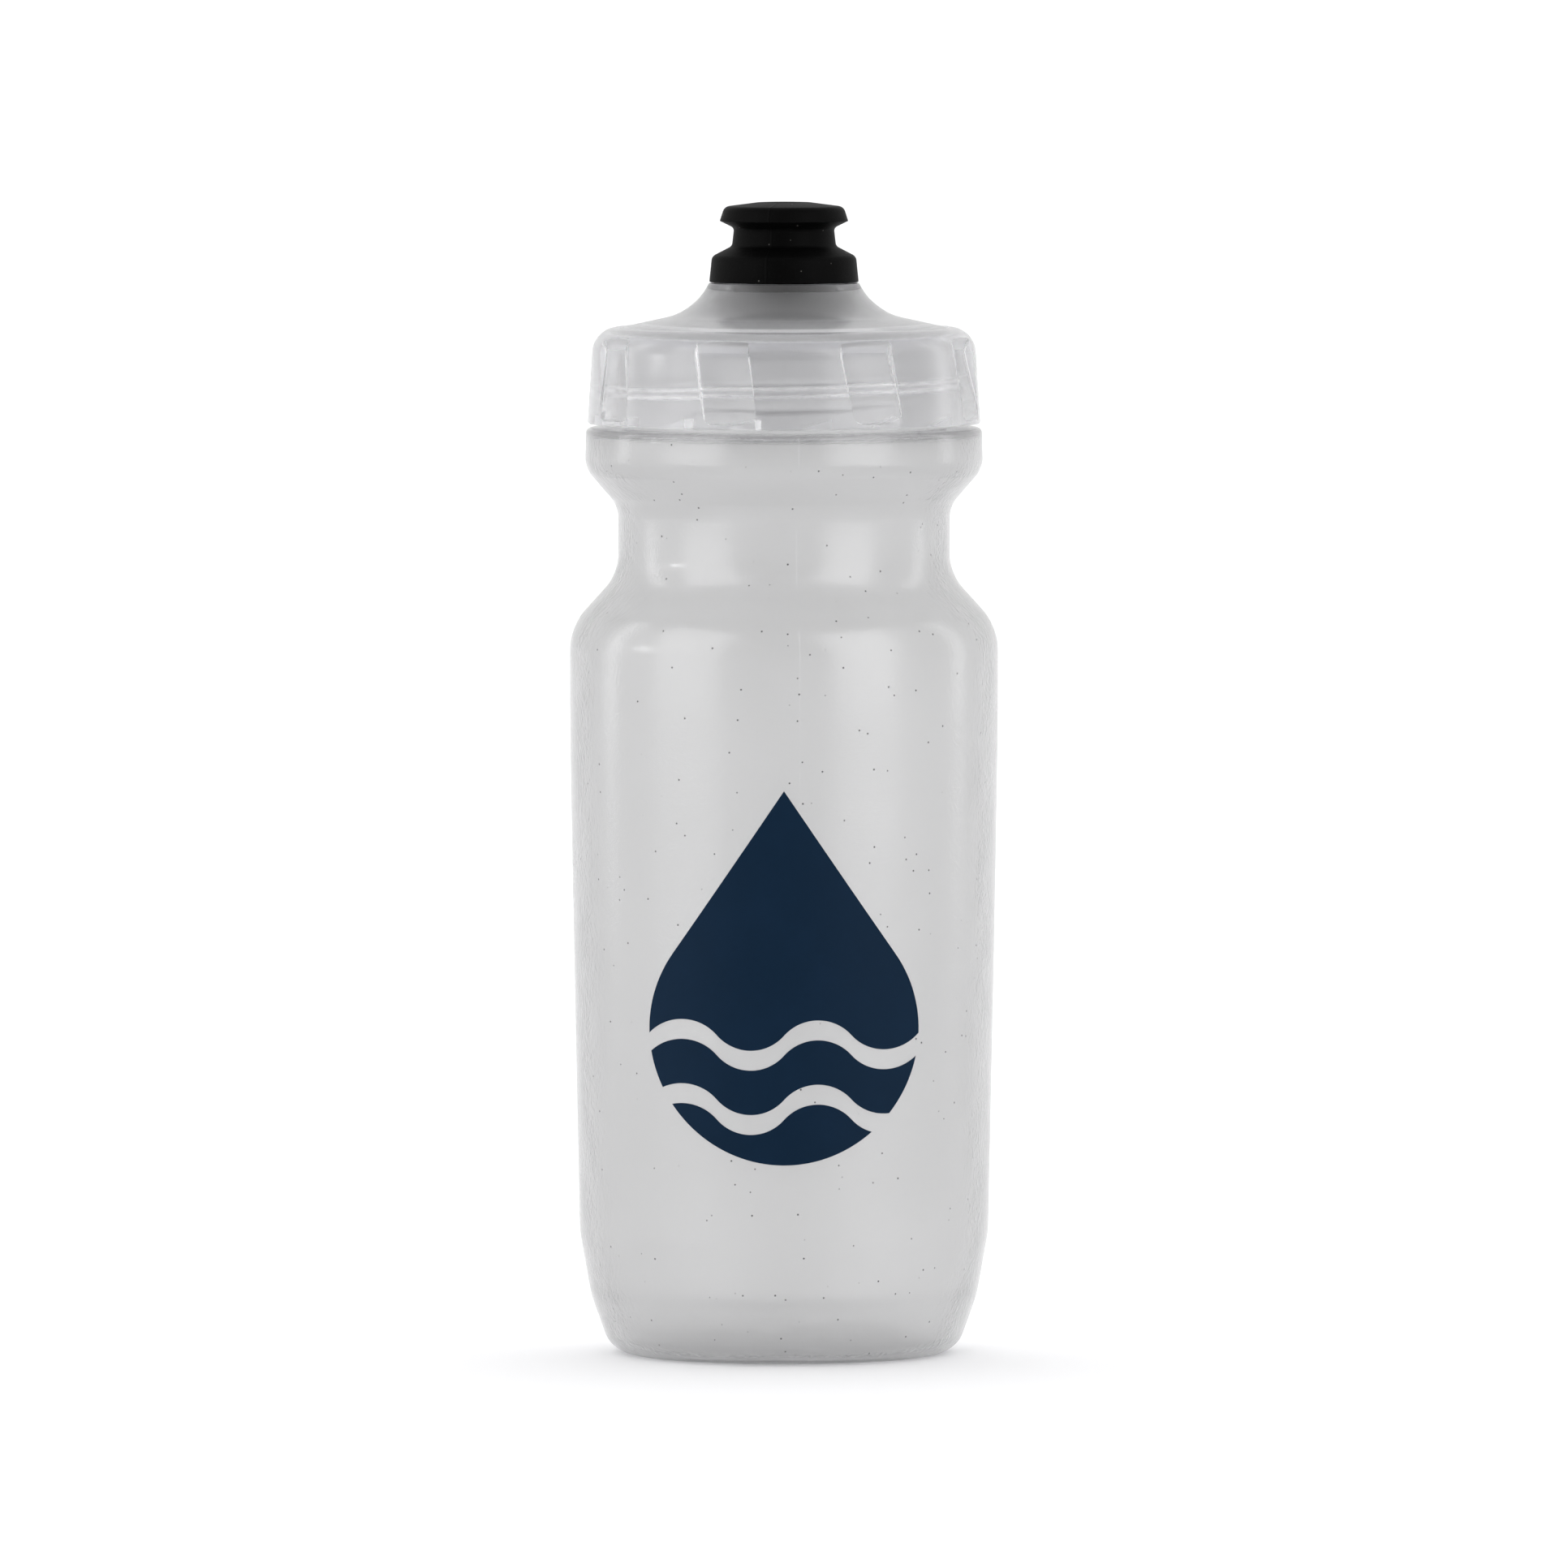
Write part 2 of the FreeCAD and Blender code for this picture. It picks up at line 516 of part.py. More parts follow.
def cap_inside_chain():
    """The cap's inside from the spout's mouth to its lower edge: bore, valve seat, tube, dome and rib."""
    dome = [(RING_RADIUS, CAP_TOP_Z, 0), (FLARE_RADIUS, FLARE_Z, 0), (STEP_RADIUS, STEP_Z, 0)]
    low, bend, high = offset_chain(dome, [DOME_WALL, DOME_WALL])
    rib_inner = RIB_RADIUS - RIB_WALL
    gap_radius = STACK_TUBE_RADIUS + STACK_TUBE_GAP
    gap_top = height_on_line(bend, high, gap_radius)
    return [
        (SPOUT_BORE_RADIUS, SPOUT_TOP_Z, FINE_EDGE),
        (SPOUT_BORE_RADIUS, SPOUT_LIP_Z),
        (BEAD_BORE_RADIUS, SPOUT_LIP_Z),
        (BEAD_BORE_RADIUS, SEAT_Z),
        (STACK_BORE_RADIUS, SEAT_Z),
        (STACK_BORE_RADIUS, STACK_TUBE_FOOT_Z, FINE_EDGE),
        (STACK_TUBE_RADIUS, STACK_TUBE_FOOT_Z, SOFT_EDGE),
        (STACK_TUBE_RADIUS, gap_top),
        (gap_radius, gap_top),
        (bend[0], bend[1], FLARE_FILLET + DOME_WALL),
        (rib_inner, height_on_line(low, bend, rib_inner), SOFT_EDGE),
        (rib_inner, RIB_FOOT_Z, SOFT_EDGE),
        (RIB_RADIUS, RIB_FOOT_Z, SOFT_EDGE),
        (RIB_RADIUS, GASKET_SEAT_Z),
        (CAP_BORE_RADIUS, GASKET_SEAT_Z, SOFT_EDGE),
        (CAP_BORE_RADIUS, CAP_FOOT_Z, SOFT_EDGE),
    ]


def pocket_cutter():
    """One finger pocket at the front: deep at its head, shallow at its foot, and leaning."""
    foot_z = CAP_FOOT_Z + POCKET_FOOT
    draft = CAP_DRAFT / (CAP_TOP_Z - CAP_FOOT_Z)
    foot_floor = CAP_FOOT_RADIUS - draft * POCKET_FOOT - POCKET_FOOT_DEPTH
    head_floor = CAP_BORE_RADIUS + POCKET_WALL
    outer = CAP_FOOT_RADIUS + CUT_PAST
    half_width = CAP_FOOT_RADIUS * math.radians(POCKET_ANGLE) / 2
    lean = CAP_FOOT_RADIUS * math.radians(POCKET_TWIST) / 2
    wires = []
    for z, floor, shift in (
        (foot_z, foot_floor, lean),
        (CAP_TOP_Z - POCKET_HEAD, head_floor, -lean),
        (CAP_TOP_Z + CUT_PAST, head_floor + POCKET_HEAD_SLOPE, -lean),
    ):
        left, right = shift - half_width, shift + half_width
        plan = [(left, -floor), (right, -floor), (right, -outer), (left, -outer), (left, -floor)]
        wires.append(Part.makePolygon([Vector(x, y, z) for x, y in plan]))
    block = Part.makeLoft(wires, True, True)
    foot_corners = []
    for edge in block.Edges:
        start, end = (vertex.Point for vertex in edge.Vertexes)
        if max(start.z, end.z) < foot_z + SHORTEST_EDGE and abs(start.x - end.x) < SHORTEST_EDGE:
            foot_corners.append(edge)
    return block.makeFillet(POCKET_CORNER, foot_corners)


def ratchet_cutter():
    """One saw-tooth notch in the skirt's lower face, at the front, that rises towards +X."""
    outer = CAP_FOOT_RADIUS - RATCHET_LIP
    inner = math.sqrt(CAP_BORE_RADIUS ** 2 - RATCHET_LENGTH ** 2) - CUT_PAST
    top, below = CAP_FOOT_Z + RATCHET_HEIGHT, CAP_FOOT_Z - CUT_PAST
    tooth = [(0, CAP_FOOT_Z), (RATCHET_LENGTH, top), (RATCHET_LENGTH, below), (0, below), (0, CAP_FOOT_Z)]
    side = Part.Face(Part.makePolygon([Vector(x, -outer, z) for x, z in tooth]))
    return side.extrude(Vector(0, outer - inner, 0))


def ring_of(cutter, count, phase):
    """Copies of a cutter round the axis."""
    copies = []
    for i in range(count):
        copy = cutter.copy()
        copy.rotate(ORIGIN, UP, phase + FULL_TURN * i / count)
        copies.append(copy)
    return Part.makeCompound(copies)


def retainer_groove():
    """The ring cut from the valve's tube, for the retainer's bead."""
    half = RETAINER_BEAD + STACK_PLAY
    low, high = RETAINER_BEAD_Z - half, RETAINER_BEAD_Z + half
    mouth, bottom = STACK_BORE_RADIUS - CUT_PAST, STACK_BORE_RADIUS + RETAINER_BEAD
    return turned([(mouth, low), (bottom, low), (bottom, high), (mouth, high)])


def screw_cap():
    """The moulded cap: skirt with pockets and ratchet, dome, spout, inner thread and the valve's tube."""
    plain = turned(cap_outside_chain() + cap_inside_chain())
    ridge = thread_ridge(CAP_BORE_RADIUS, -1, CAP_THREAD_Z, CAP_THREAD_FIRST_TURN, CAP_THREAD_TURNS)
    cap = plain.fuse(ridge).cut(retainer_groove())
    cap = cap.cut(ring_of(pocket_cutter(), POCKET_COUNT, POCKET_PHASE))
    return cap.cut(ring_of(ratchet_cutter(), RATCHET_COUNT, RATCHET_PHASE))


def cap_gasket():
    """The flat silicone ring between the bottle's lip and the cap."""
    inner = RIB_RADIUS + GASKET_SIDE_PLAY
    outer = CAP_BORE_RADIUS - GASKET_SIDE_PLAY
    foot = LIP_Z + GASKET_PLAY
    top = foot + GASKET_THICKNESS
    corners = ((inner, foot), (outer, foot), (outer, top), (inner, top))
    return turned([(radius, z, FINE_EDGE) for radius, z in corners])


# ---------------------------------------------------------------- what the cap holds

def plug_insert():
    """Ring, spokes and a post whose head shuts the nozzle's orifice."""
    rim = turned([
        (STACK_RIM_RADIUS, INSERT_FOOT_Z, FINE_EDGE), (STACK_RADIUS, INSERT_FOOT_Z, FINE_EDGE),
        (STACK_RADIUS, SEAT_Z), (STACK_RIM_RADIUS, SEAT_Z, FINE_EDGE),
    ])
    plug_radius = ORIFICE_RADIUS - PLUG_PLAY
    plug_top = CROWN_Z - PLUG_DROP
    plug_foot = plug_top - PLUG_HEIGHT
    post_top = plug_foot - (plug_radius - POST_RADIUS)
    post = turned([
        (0, INSERT_FOOT_Z), (POST_RADIUS, INSERT_FOOT_Z, SOFT_EDGE), (POST_RADIUS, post_top, POST_FILLET),
        (plug_radius, plug_foot, SOFT_EDGE), (plug_radius, plug_top, PLUG_FILLET), (0, plug_top),
    ])
    solid = rim.fuse(post)
    for i in range(SPOKE_COUNT):
        spoke = Part.makeBox(STACK_RIM_RADIUS + CUT_PAST, SPOKE_WIDTH, SPOKE_HEIGHT)
        spoke.translate(Vector(0, -SPOKE_WIDTH / 2, INSERT_FOOT_Z))
        spoke.rotate(ORIGIN, UP, 90 + FULL_TURN * i / SPOKE_COUNT)
        solid = solid.fuse(spoke)
    return solid


def valve_membrane():
    """A thin silicone disc that sags into the bottle, with a thick rim and a crossed slit."""
    low = MEMBRANE_FOOT_Z - MEMBRANE_SAG
    high = low + MEMBRANE_SKIN
    disc = turned([
        (0, low), (MEMBRANE_FLAT_RADIUS, low, MEMBRANE_FILLET),
        (STACK_RIM_RADIUS, MEMBRANE_FOOT_Z, SOFT_EDGE), (STACK_RADIUS, MEMBRANE_FOOT_Z, FINE_EDGE),
        (STACK_RADIUS, INSERT_FOOT_Z), (STACK_RIM_RADIUS, INSERT_FOOT_Z, SOFT_EDGE),
        (MEMBRANE_FLAT_RADIUS, high, MEMBRANE_FILLET), (0, high),
    ])
    slit = Part.makeBox(SLIT_LENGTH, SLIT_WIDTH, MEMBRANE_SAG + MEMBRANE_RIM_HEIGHT + 2 * CUT_PAST)
    slit.translate(Vector(-SLIT_LENGTH / 2, -SLIT_WIDTH / 2, low - CUT_PAST))
    crossed = slit.copy()
    crossed.rotate(ORIGIN, UP, 90)
    return disc.cut(slit).cut(crossed)


def valve_retainer():
    """The ring that snaps into the tube's groove and holds the stack up."""
    inner = STACK_RADIUS - RETAINER_WALL
    return turned([
        (inner, RETAINER_FOOT_Z, FINE_EDGE), (STACK_RADIUS, RETAINER_FOOT_Z, SOFT_EDGE),
        (STACK_RADIUS, RETAINER_BEAD_Z - RETAINER_BEAD), (STACK_RADIUS + RETAINER_BEAD, RETAINER_BEAD_Z),
        (STACK_RADIUS, RETAINER_BEAD_Z + RETAINER_BEAD), (STACK_RADIUS, MEMBRANE_FOOT_Z),
        (inner, MEMBRANE_FOOT_Z, FINE_EDGE),
    ])


# ---------------------------------------------------------------- the nozzle

def core_chain():
    """The core's outside, from its sleeve up to its flange: the faces that the rubber is moulded on."""
    return [
        (SLEEVE_RADIUS, GRIP_ROOF_Z),
        (CORE_NECK_RADIUS, CORE_NECK_Z),
        (CORE_NECK_RADIUS, FLANGE_FOOT_Z),
        (CORE_FLANGE_RADIUS, FLANGE_FOOT_Z),
        (CORE_FLANGE_RADIUS, FLANGE_TOP_Z),
        (ORIFICE_RADIUS, FLANGE_TOP_Z),
    ]


def nozzle_core():
    """The stiff tube inside the rubber: sleeve with a snap bead, neck and a pierced top plate."""
    sleeve_inner = SLEEVE_RADIUS - CORE_WALL
    neck_inner = CORE_NECK_RADIUS - CORE_WALL
    bead = [
        (sleeve_inner, SLEEVE_FOOT_Z, FINE_EDGE), (BEAD_RADIUS, SLEEVE_FOOT_Z, SOFT_EDGE),
        (BEAD_RADIUS, BEAD_TOP_Z), (SLEEVE_RADIUS, BEAD_TOP_Z),
    ]
    inside = [
        (ORIFICE_RADIUS, FLANGE_FOOT_Z), (neck_inner, FLANGE_FOOT_Z, SOFT_EDGE),
        (neck_inner, CORE_NECK_Z - CORE_WALL / 2, SOFT_EDGE),
        (sleeve_inner, GRIP_ROOF_Z - CORE_WALL / 2, SOFT_EDGE),
    ]
    return turned(bead + core_chain() + inside)


def nozzle_grip():
    """The black rubber moulded over the core: skirt, finger waist and the mushroom head to pull."""
    foot_radius = STEP_RADIUS - GRIP_BASE_INSET
    skirt_inner = SPOUT_RADIUS + GRIP_SKIRT_PLAY
    waist = CORE_NECK_RADIUS + GRIP_WAIST_SKIN
    outside = [
        (skirt_inner, GRIP_FOOT_Z, FINE_EDGE),
        (foot_radius, GRIP_FOOT_Z, FINE_EDGE),
        (foot_radius - GRIP_BASE_DRAFT, GRIP_SHOULDER_Z, GRIP_CORNER_FILLET),
        (waist, GRIP_WAIST_Z, GRIP_CORNER_FILLET),
        (waist - GRIP_WAIST_DRAFT, GRIP_NECK_Z, GRIP_CORNER_FILLET),
        (CORE_FLANGE_RADIUS + GRIP_LIP_OUT, GRIP_LIP_Z, GRIP_LIP_EDGE),
        (CORE_FLANGE_RADIUS + GRIP_HEAD_SKIN, GRIP_TOP_Z, GRIP_HEAD_FILLET),
        (ORIFICE_RADIUS + GRIP_RIM_WIDTH, CROWN_Z, GRIP_CORNER_FILLET),
        (ORIFICE_RADIUS, CROWN_Z - GRIP_RIM_DISH, SOFT_EDGE),
    ]
    return turned(outside + core_chain()[::-1] + [(skirt_inner, GRIP_ROOF_Z, SOFT_EDGE)])


# ---------------------------------------------------------------- export

def main():
    """Builds every piece and writes it to its own file."""
    os.makedirs("parts", exist_ok=True)
    for build in (squeeze_bottle, graphic_print, screw_cap, cap_gasket, plug_insert,
                  valve_membrane, valve_retainer, nozzle_core, nozzle_grip):
        shape = build()
        shape.exportStep(f"parts/{build.__name__}.step")
        print(f"{build.__name__}: {len(shape.Solids)} solid, {shape.Volume / 1000:.2f} cm3, "
              f"valid {shape.isValid()}")


main()
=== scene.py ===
"""A bicycle water bottle with a screw cap and a push-pull nozzle, dressed over its fixed frame.

Sizes are in millimetres in every class below and become metres where a mesh is made.
"""

import logging
import math
from collections.abc import Callable
from dataclasses import dataclass, field
from enum import Enum

import bmesh
import bpy
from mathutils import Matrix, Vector


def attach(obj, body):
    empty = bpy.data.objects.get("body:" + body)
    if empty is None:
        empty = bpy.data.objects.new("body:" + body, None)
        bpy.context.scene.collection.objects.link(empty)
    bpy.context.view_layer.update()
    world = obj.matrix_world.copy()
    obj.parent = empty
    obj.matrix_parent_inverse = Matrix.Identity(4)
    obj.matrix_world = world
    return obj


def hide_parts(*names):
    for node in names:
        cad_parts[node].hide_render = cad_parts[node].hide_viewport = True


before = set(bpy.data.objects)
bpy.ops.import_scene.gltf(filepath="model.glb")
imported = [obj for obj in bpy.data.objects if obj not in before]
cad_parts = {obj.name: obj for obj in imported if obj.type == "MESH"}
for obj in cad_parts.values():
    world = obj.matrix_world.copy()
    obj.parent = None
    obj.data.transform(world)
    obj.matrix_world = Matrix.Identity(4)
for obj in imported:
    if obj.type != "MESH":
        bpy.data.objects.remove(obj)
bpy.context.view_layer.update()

LOG = logging.getLogger("water_bottle")
MM = 0.001
AXIS_FOOT = (0.0, 0.0, 0.0)
TINY = 1e-5  # in metres, for places that should be the same
POLE_MM = 0.004  # radius of the ring that stands for a pole until it is welded
ON_RING_MM = 0.004  # how far a vertex may be from the ring it belongs to
WELD_MM = 0.012  # vertices of a turned piece closer than this become one
RIDGE_WELD_MM = 0.01  # the same for the thread
SIDE_SHARE = 0.96  # how much of a side two roundings may take together
FACES_AXIS = -0.12  # a face's lean towards the axis, past which it counts as an inner one
FACES_DOWN = -0.3  # the same for facing down
SPECK_COLOUR = "17171A"
LINT_COLOUR = "8C8A86"
SEAM_HALF_WIDTH_MM = 0.3
SEAM_HEIGHT_MM = 0.06


# ---------------------------------------------------------------- working with meshes


class Merge(Enum):
    """How a tool's shape is put together with a piece."""

    FUSE = "UNION"
    CUT = "DIFFERENCE"


def work_on(piece: bpy.types.Object) -> None:
    """Leaves edit mode and selects one piece alone.

    Args:
        piece: The object to select and make active.
    """
    if bpy.context.mode != "OBJECT":
        bpy.ops.object.mode_set(mode="OBJECT")
    bpy.ops.object.select_all(action="DESELECT")
    piece.select_set(True)
    bpy.context.view_layer.objects.active = piece


def nothing_selected() -> None:
    """Leaves edit mode with no object selected."""
    if bpy.context.mode != "OBJECT":
        bpy.ops.object.mode_set(mode="OBJECT")
    bpy.ops.object.select_all(action="DESELECT")


def fix_in_place(piece: bpy.types.Object) -> None:
    """Puts a piece's place, turn and scale into its mesh."""
    work_on(piece)
    bpy.ops.object.transform_apply(location=True, rotation=True, scale=True)


def pick(piece: bpy.types.Object, wanted: Callable[[Vector], bool]) -> None:
    """Selects the vertices that a test accepts, with the edges and faces between them.

    Args:
        piece: The object being edited, in edit mode.
        wanted: Takes a vertex's place in metres and says whether it is selected.
    """
    bpy.ops.mesh.select_mode(type="VERT")
    bpy.ops.mesh.select_all(action="DESELECT")
    mesh = bmesh.from_edit_mesh(piece.data)
    for vertex in mesh.verts:
        if wanted(vertex.co):
            vertex.select_set(True)
    mesh.select_flush(True)
    bmesh.update_edit_mesh(piece.data)


def merge(piece: bpy.types.Object, tool: bpy.types.Object, how: Merge) -> None:
    """Fuses a tool to a piece, or cuts the piece with it, and removes the tool.

    Args:
        piece: The piece that changes.
        tool: A closed mesh.
        how: Fuse or cut.
    """
    work_on(piece)
    modifier = piece.modifiers.new("merge", "BOOLEAN")
    modifier.operation = how.value
    modifier.object = tool
    modifier.solver = "EXACT"
    bpy.ops.object.modifier_apply(modifier="merge")
    bpy.data.objects.remove(tool, do_unlink=True)


def ring_of_copies(tool: bpy.types.Object, count: int, phase: float) -> bpy.types.Object:
    """Copies a tool round the axis and joins the copies.

    Args:
        tool: The first copy, at the front.
        count: How many there are in a full turn.
        phase: Where the first one goes, in degrees from the front towards +X.

    Returns:
        One object that holds all the copies.
    """
    copies = []
    for index in range(count):
        copy = bpy.data.objects.new(f"{tool.name}_{index}", tool.data.copy())
        bpy.context.scene.collection.objects.link(copy)
        copy.rotation_euler = (0.0, 0.0, math.radians(phase + 360.0 * index / count))
        fix_in_place(copy)
        copies.append(copy)
    nothing_selected()
    for copy in copies:
        copy.select_set(True)
    bpy.context.view_layer.objects.active = copies[0]
    bpy.ops.object.join()
    bpy.data.objects.remove(tool, do_unlink=True)
    return copies[0]


def smooth(piece: bpy.types.Object, sharpest: float = 38.0) -> None:
    """Shades a piece smooth, except along edges that turn by more than an angle.

    Args:
        piece: The finished mesh.
        sharpest: The angle in degrees.
    """
    work_on(piece)
    bpy.ops.object.shade_smooth_by_angle(angle=math.radians(sharpest))
    nothing_selected()


@dataclass(frozen=True)
class Corner:
    """A corner of an outline seen from the side: distance from the axis, height and rounding."""

    radius: float
    height: float
    rounding: float = 0.0

    def point(self) -> Vector:
        """The corner as a point of the half plane."""
        return Vector((self.radius, self.height))

    def flat_angle(self) -> float:
        """The angle in degrees that one flat of the rounding may turn: small where it is seen well."""
        if self.rounding > 2:
            return 7.5
        return 15.0 if self.rounding > 0.5 else 30.0


@dataclass
class Outline:
    """Corners of a turned shape. A closed outline comes back to its first corner."""

    corners: list[Corner]
    closed: bool = False

    def tangents(self) -> list[float]:
        """Finds how much of its two sides each rounding takes.

        Returns:
            One length for each corner, made smaller where two roundings don't fit on a side.
        """
        count = len(self.corners)
        needed = []
        for index, corner in enumerate(self.corners):
            at_end = not self.closed and index in (0, count - 1)
            if corner.rounding == 0 or at_end:
                needed.append(0.0)
                continue
            back = self.corners[index - 1].point() - corner.point()
            ahead = self.corners[(index + 1) % count].point() - corner.point()
            needed.append(corner.rounding / math.tan(back.angle(ahead) / 2))
        fits = []
        for index, corner in enumerate(self.corners):
            following = (index + 1) % count
            side = (self.corners[following].point() - corner.point()).length
            both = needed[index] + needed[following]
            fits.append(min(1.0, SIDE_SHARE * side / both) if both > 0 else 1.0)
        return [length * min(fits[index - 1], fits[index]) for index, length in enumerate(needed)]

    def bend(self, index: int) -> float:
        """The angle in degrees by which the outline turns at a corner."""
        corner = self.corners[index].point()
        back = self.corners[index - 1].point() - corner
        ahead = self.corners[(index + 1) % len(self.corners)].point() - corner
        return 180.0 - math.degrees(back.angle(ahead))

    def turn(self, name: str, sides: int) -> bpy.types.Object:
        """Extrudes a circle from corner to corner, then bevels each ring to its rounding.

        Args:
            name: The new object's name.
            sides: Number of flats round the axis.

        Returns:
            The turned mesh, closed at its poles, with its faces pointing outwards.
        """
        first = self.corners[0]
        nothing_selected()
        bpy.ops.mesh.primitive_circle_add(
            vertices=sides, radius=first.radius * MM, location=(0, 0, first.height * MM)
        )
        piece = bpy.context.object
        piece.name = name
        fix_in_place(piece)
        bpy.ops.object.mode_set(mode="EDIT")
        bpy.ops.mesh.select_all(action="SELECT")
        for here, there in zip(self.corners, self.corners[1:]):
            rise = (0, 0, (there.height - here.height) * MM)
            bpy.ops.mesh.extrude_region_move(TRANSFORM_OT_translate={"value": rise})
            spread = there.radius / here.radius
            bpy.ops.transform.resize(value=(spread, spread, 1), center_override=AXIS_FOOT)
        if self.closed:
            last = self.corners[-1]
            pick(piece, lambda place: self.on_ring(place, first) or self.on_ring(place, last))
            bpy.ops.mesh.select_mode(type="EDGE")
            bpy.ops.mesh.bridge_edge_loops()
        for index, length in enumerate(self.tangents()):
            if length > 0:
                self.round_ring(piece, index, length)
        bpy.ops.mesh.select_all(action="SELECT")
        bpy.ops.mesh.remove_doubles(threshold=WELD_MM * MM)
        bpy.ops.mesh.normals_make_consistent(inside=False)
        bpy.ops.object.mode_set(mode="OBJECT")
        return piece

    @staticmethod
    def on_ring(place: Vector, corner: Corner) -> bool:
        """Says whether a vertex lies on a corner's ring."""
        off_height = abs(place.z - corner.height * MM)
        off_radius = abs(math.hypot(place.x, place.y) - corner.radius * MM)
        return max(off_height, off_radius) < ON_RING_MM * MM

    def round_ring(self, piece: bpy.types.Object, index: int, length: float) -> None:
        """Bevels the ring at one corner.

        Args:
            piece: The object in edit mode.
            index: The corner's number.
            length: How far each edge of the bevel lies from the corner, in millimetres.
        """
        corner = self.corners[index]
        pick(piece, lambda place: self.on_ring(place, corner))
        bpy.ops.mesh.select_mode(type="EDGE")
        steps = max(2, math.ceil(self.bend(index) / corner.flat_angle()))
        bpy.ops.mesh.bevel(
            offset=length * MM,
            offset_type="OFFSET",
            segments=steps,
            profile=0.5,
            affect="EDGES",
            clamp_overlap=False,
        )


@dataclass(frozen=True)
class Thread:
    """The bottle's coarse one-start screw thread."""

    pitch: float = 4.2
    depth: float = 1.2
    root_width: float = 2.1
    crest_width: float = 0.9
    crest_rounding: float = 0.4
    sunk: float = 0.5
    start_angle: float = -130.0
    fade: float = 0.09
    steps_per_turn: int = 90

    def ridge(
        self, name: str, wall: float, outward: int, height: float, first: float, turns: float
    ) -> bpy.types.Object:
        """Winds a trapezoid ridge on a wall, with both ends faded into it.

        Args:
            name: The new object's name.
            wall: The radius of the wall it grows from.
            outward: 1 for a ridge outside the wall, -1 for one inside it.
            height: Where the helix begins, in millimetres above the floor.
            first: The ridge's first turn on that helix.
            turns: The ridge's length.

        Returns:
            A closed mesh.
        """
        foot_half = (self.root_width + self.sunk) / 2
        crest_half = self.crest_width / 2
        foot = wall - outward * self.sunk
        crest = wall + outward * self.depth
        nothing_selected()
        bpy.ops.mesh.primitive_plane_add(size=1, rotation=(math.pi / 2, 0, 0))
        piece = bpy.context.object
        piece.name = name
        fix_in_place(piece)
        bpy.ops.object.mode_set(mode="EDIT")
        for side, half, radius in ((-0.5, foot_half, foot), (0.5, crest_half, crest)):
            pick(piece, lambda place: abs(place.x - side) < 0.1)
            bpy.ops.transform.resize(value=(1, 1, 2 * half * MM), center_override=AXIS_FOOT)
            bpy.ops.transform.translate(value=(radius * MM - side, 0, 0))
        pick(piece, lambda place: (place.x - wall * MM) * outward > 0)
        bpy.ops.mesh.bevel(offset=self.crest_rounding * MM, segments=4, affect="VERTICES")
        bpy.ops.mesh.select_all(action="SELECT")
        bpy.ops.mesh.delete(type="ONLY_FACE")
        bpy.ops.object.mode_set(mode="OBJECT")
        winding = piece.modifiers.new("winding", "SCREW")
        winding.axis = "Z"
        winding.angle = math.radians(360 * turns)
        winding.screw_offset = self.pitch * turns * MM
        winding.steps = winding.render_steps = math.ceil(self.steps_per_turn * turns)
        bpy.ops.object.modifier_apply(modifier="winding")
        bpy.ops.object.mode_set(mode="EDIT")
        bpy.ops.mesh.select_all(action="SELECT")
        bpy.ops.mesh.remove_doubles(threshold=RIDGE_WELD_MM * MM)
        bpy.ops.mesh.select_all(action="DESELECT")
        bpy.ops.mesh.select_non_manifold()
        bpy.ops.mesh.fill_holes(sides=0)
        bpy.ops.mesh.select_all(action="SELECT")
        bpy.ops.mesh.normals_make_consistent(inside=False)
        bpy.ops.object.mode_set(mode="OBJECT")
        self.fade_ends(piece, wall, outward, turns)
        piece.location = (0, 0, (height + self.pitch * first) * MM)
        piece.rotation_euler = (0, 0, math.radians(self.start_angle + 360 * first))
        fix_in_place(piece)
        return piece

    def fade_ends(self, piece: bpy.types.Object, wall: float, outward: int, turns: float) -> None:
        """Lowers the crest towards the wall over the first and last part of a turn.

        Args:
            piece: The wound ridge, still at height 0.
            wall: The radius of the wall it grows from.
            outward: 1 outside the wall, -1 inside it.
            turns: The ridge's length.
        """
        for vertex in piece.data.vertices:
            radius = math.hypot(vertex.co.x, vertex.co.y) / MM
            if (radius - wall) * outward < 0:
                continue
            angle = math.atan2(vertex.co.y, vertex.co.x) / math.tau
            turn = angle + round(vertex.co.z / MM / self.pitch - angle)
            share = max(0.0, min(1.0, min(turn, turns - turn) / self.fade))
            rise = abs(radius - wall) * math.sqrt(share) - self.sunk / 2 * (1 - share)
            lowered = wall + outward * rise
            vertex.co.x *= lowered / radius
            vertex.co.y *= lowered / radius


# ---------------------------------------------------------------- finishes


def linear(colour: str) -> tuple[float, float, float, float]:
    """Turns an sRGB hex colour into the linear colour that a shader takes.

    Args:
        colour: Six hex digits.

    Returns:
        Red, green, blue and an alpha of 1.
    """
    parts = []
    for start in (0, 2, 4):
        value = int(colour[start : start + 2], 16) / 255
        parts.append(value / 12.92 if value <= 0.04045 else ((value + 0.055) / 1.055) ** 2.4)
    return (parts[0], parts[1], parts[2], 1.0)


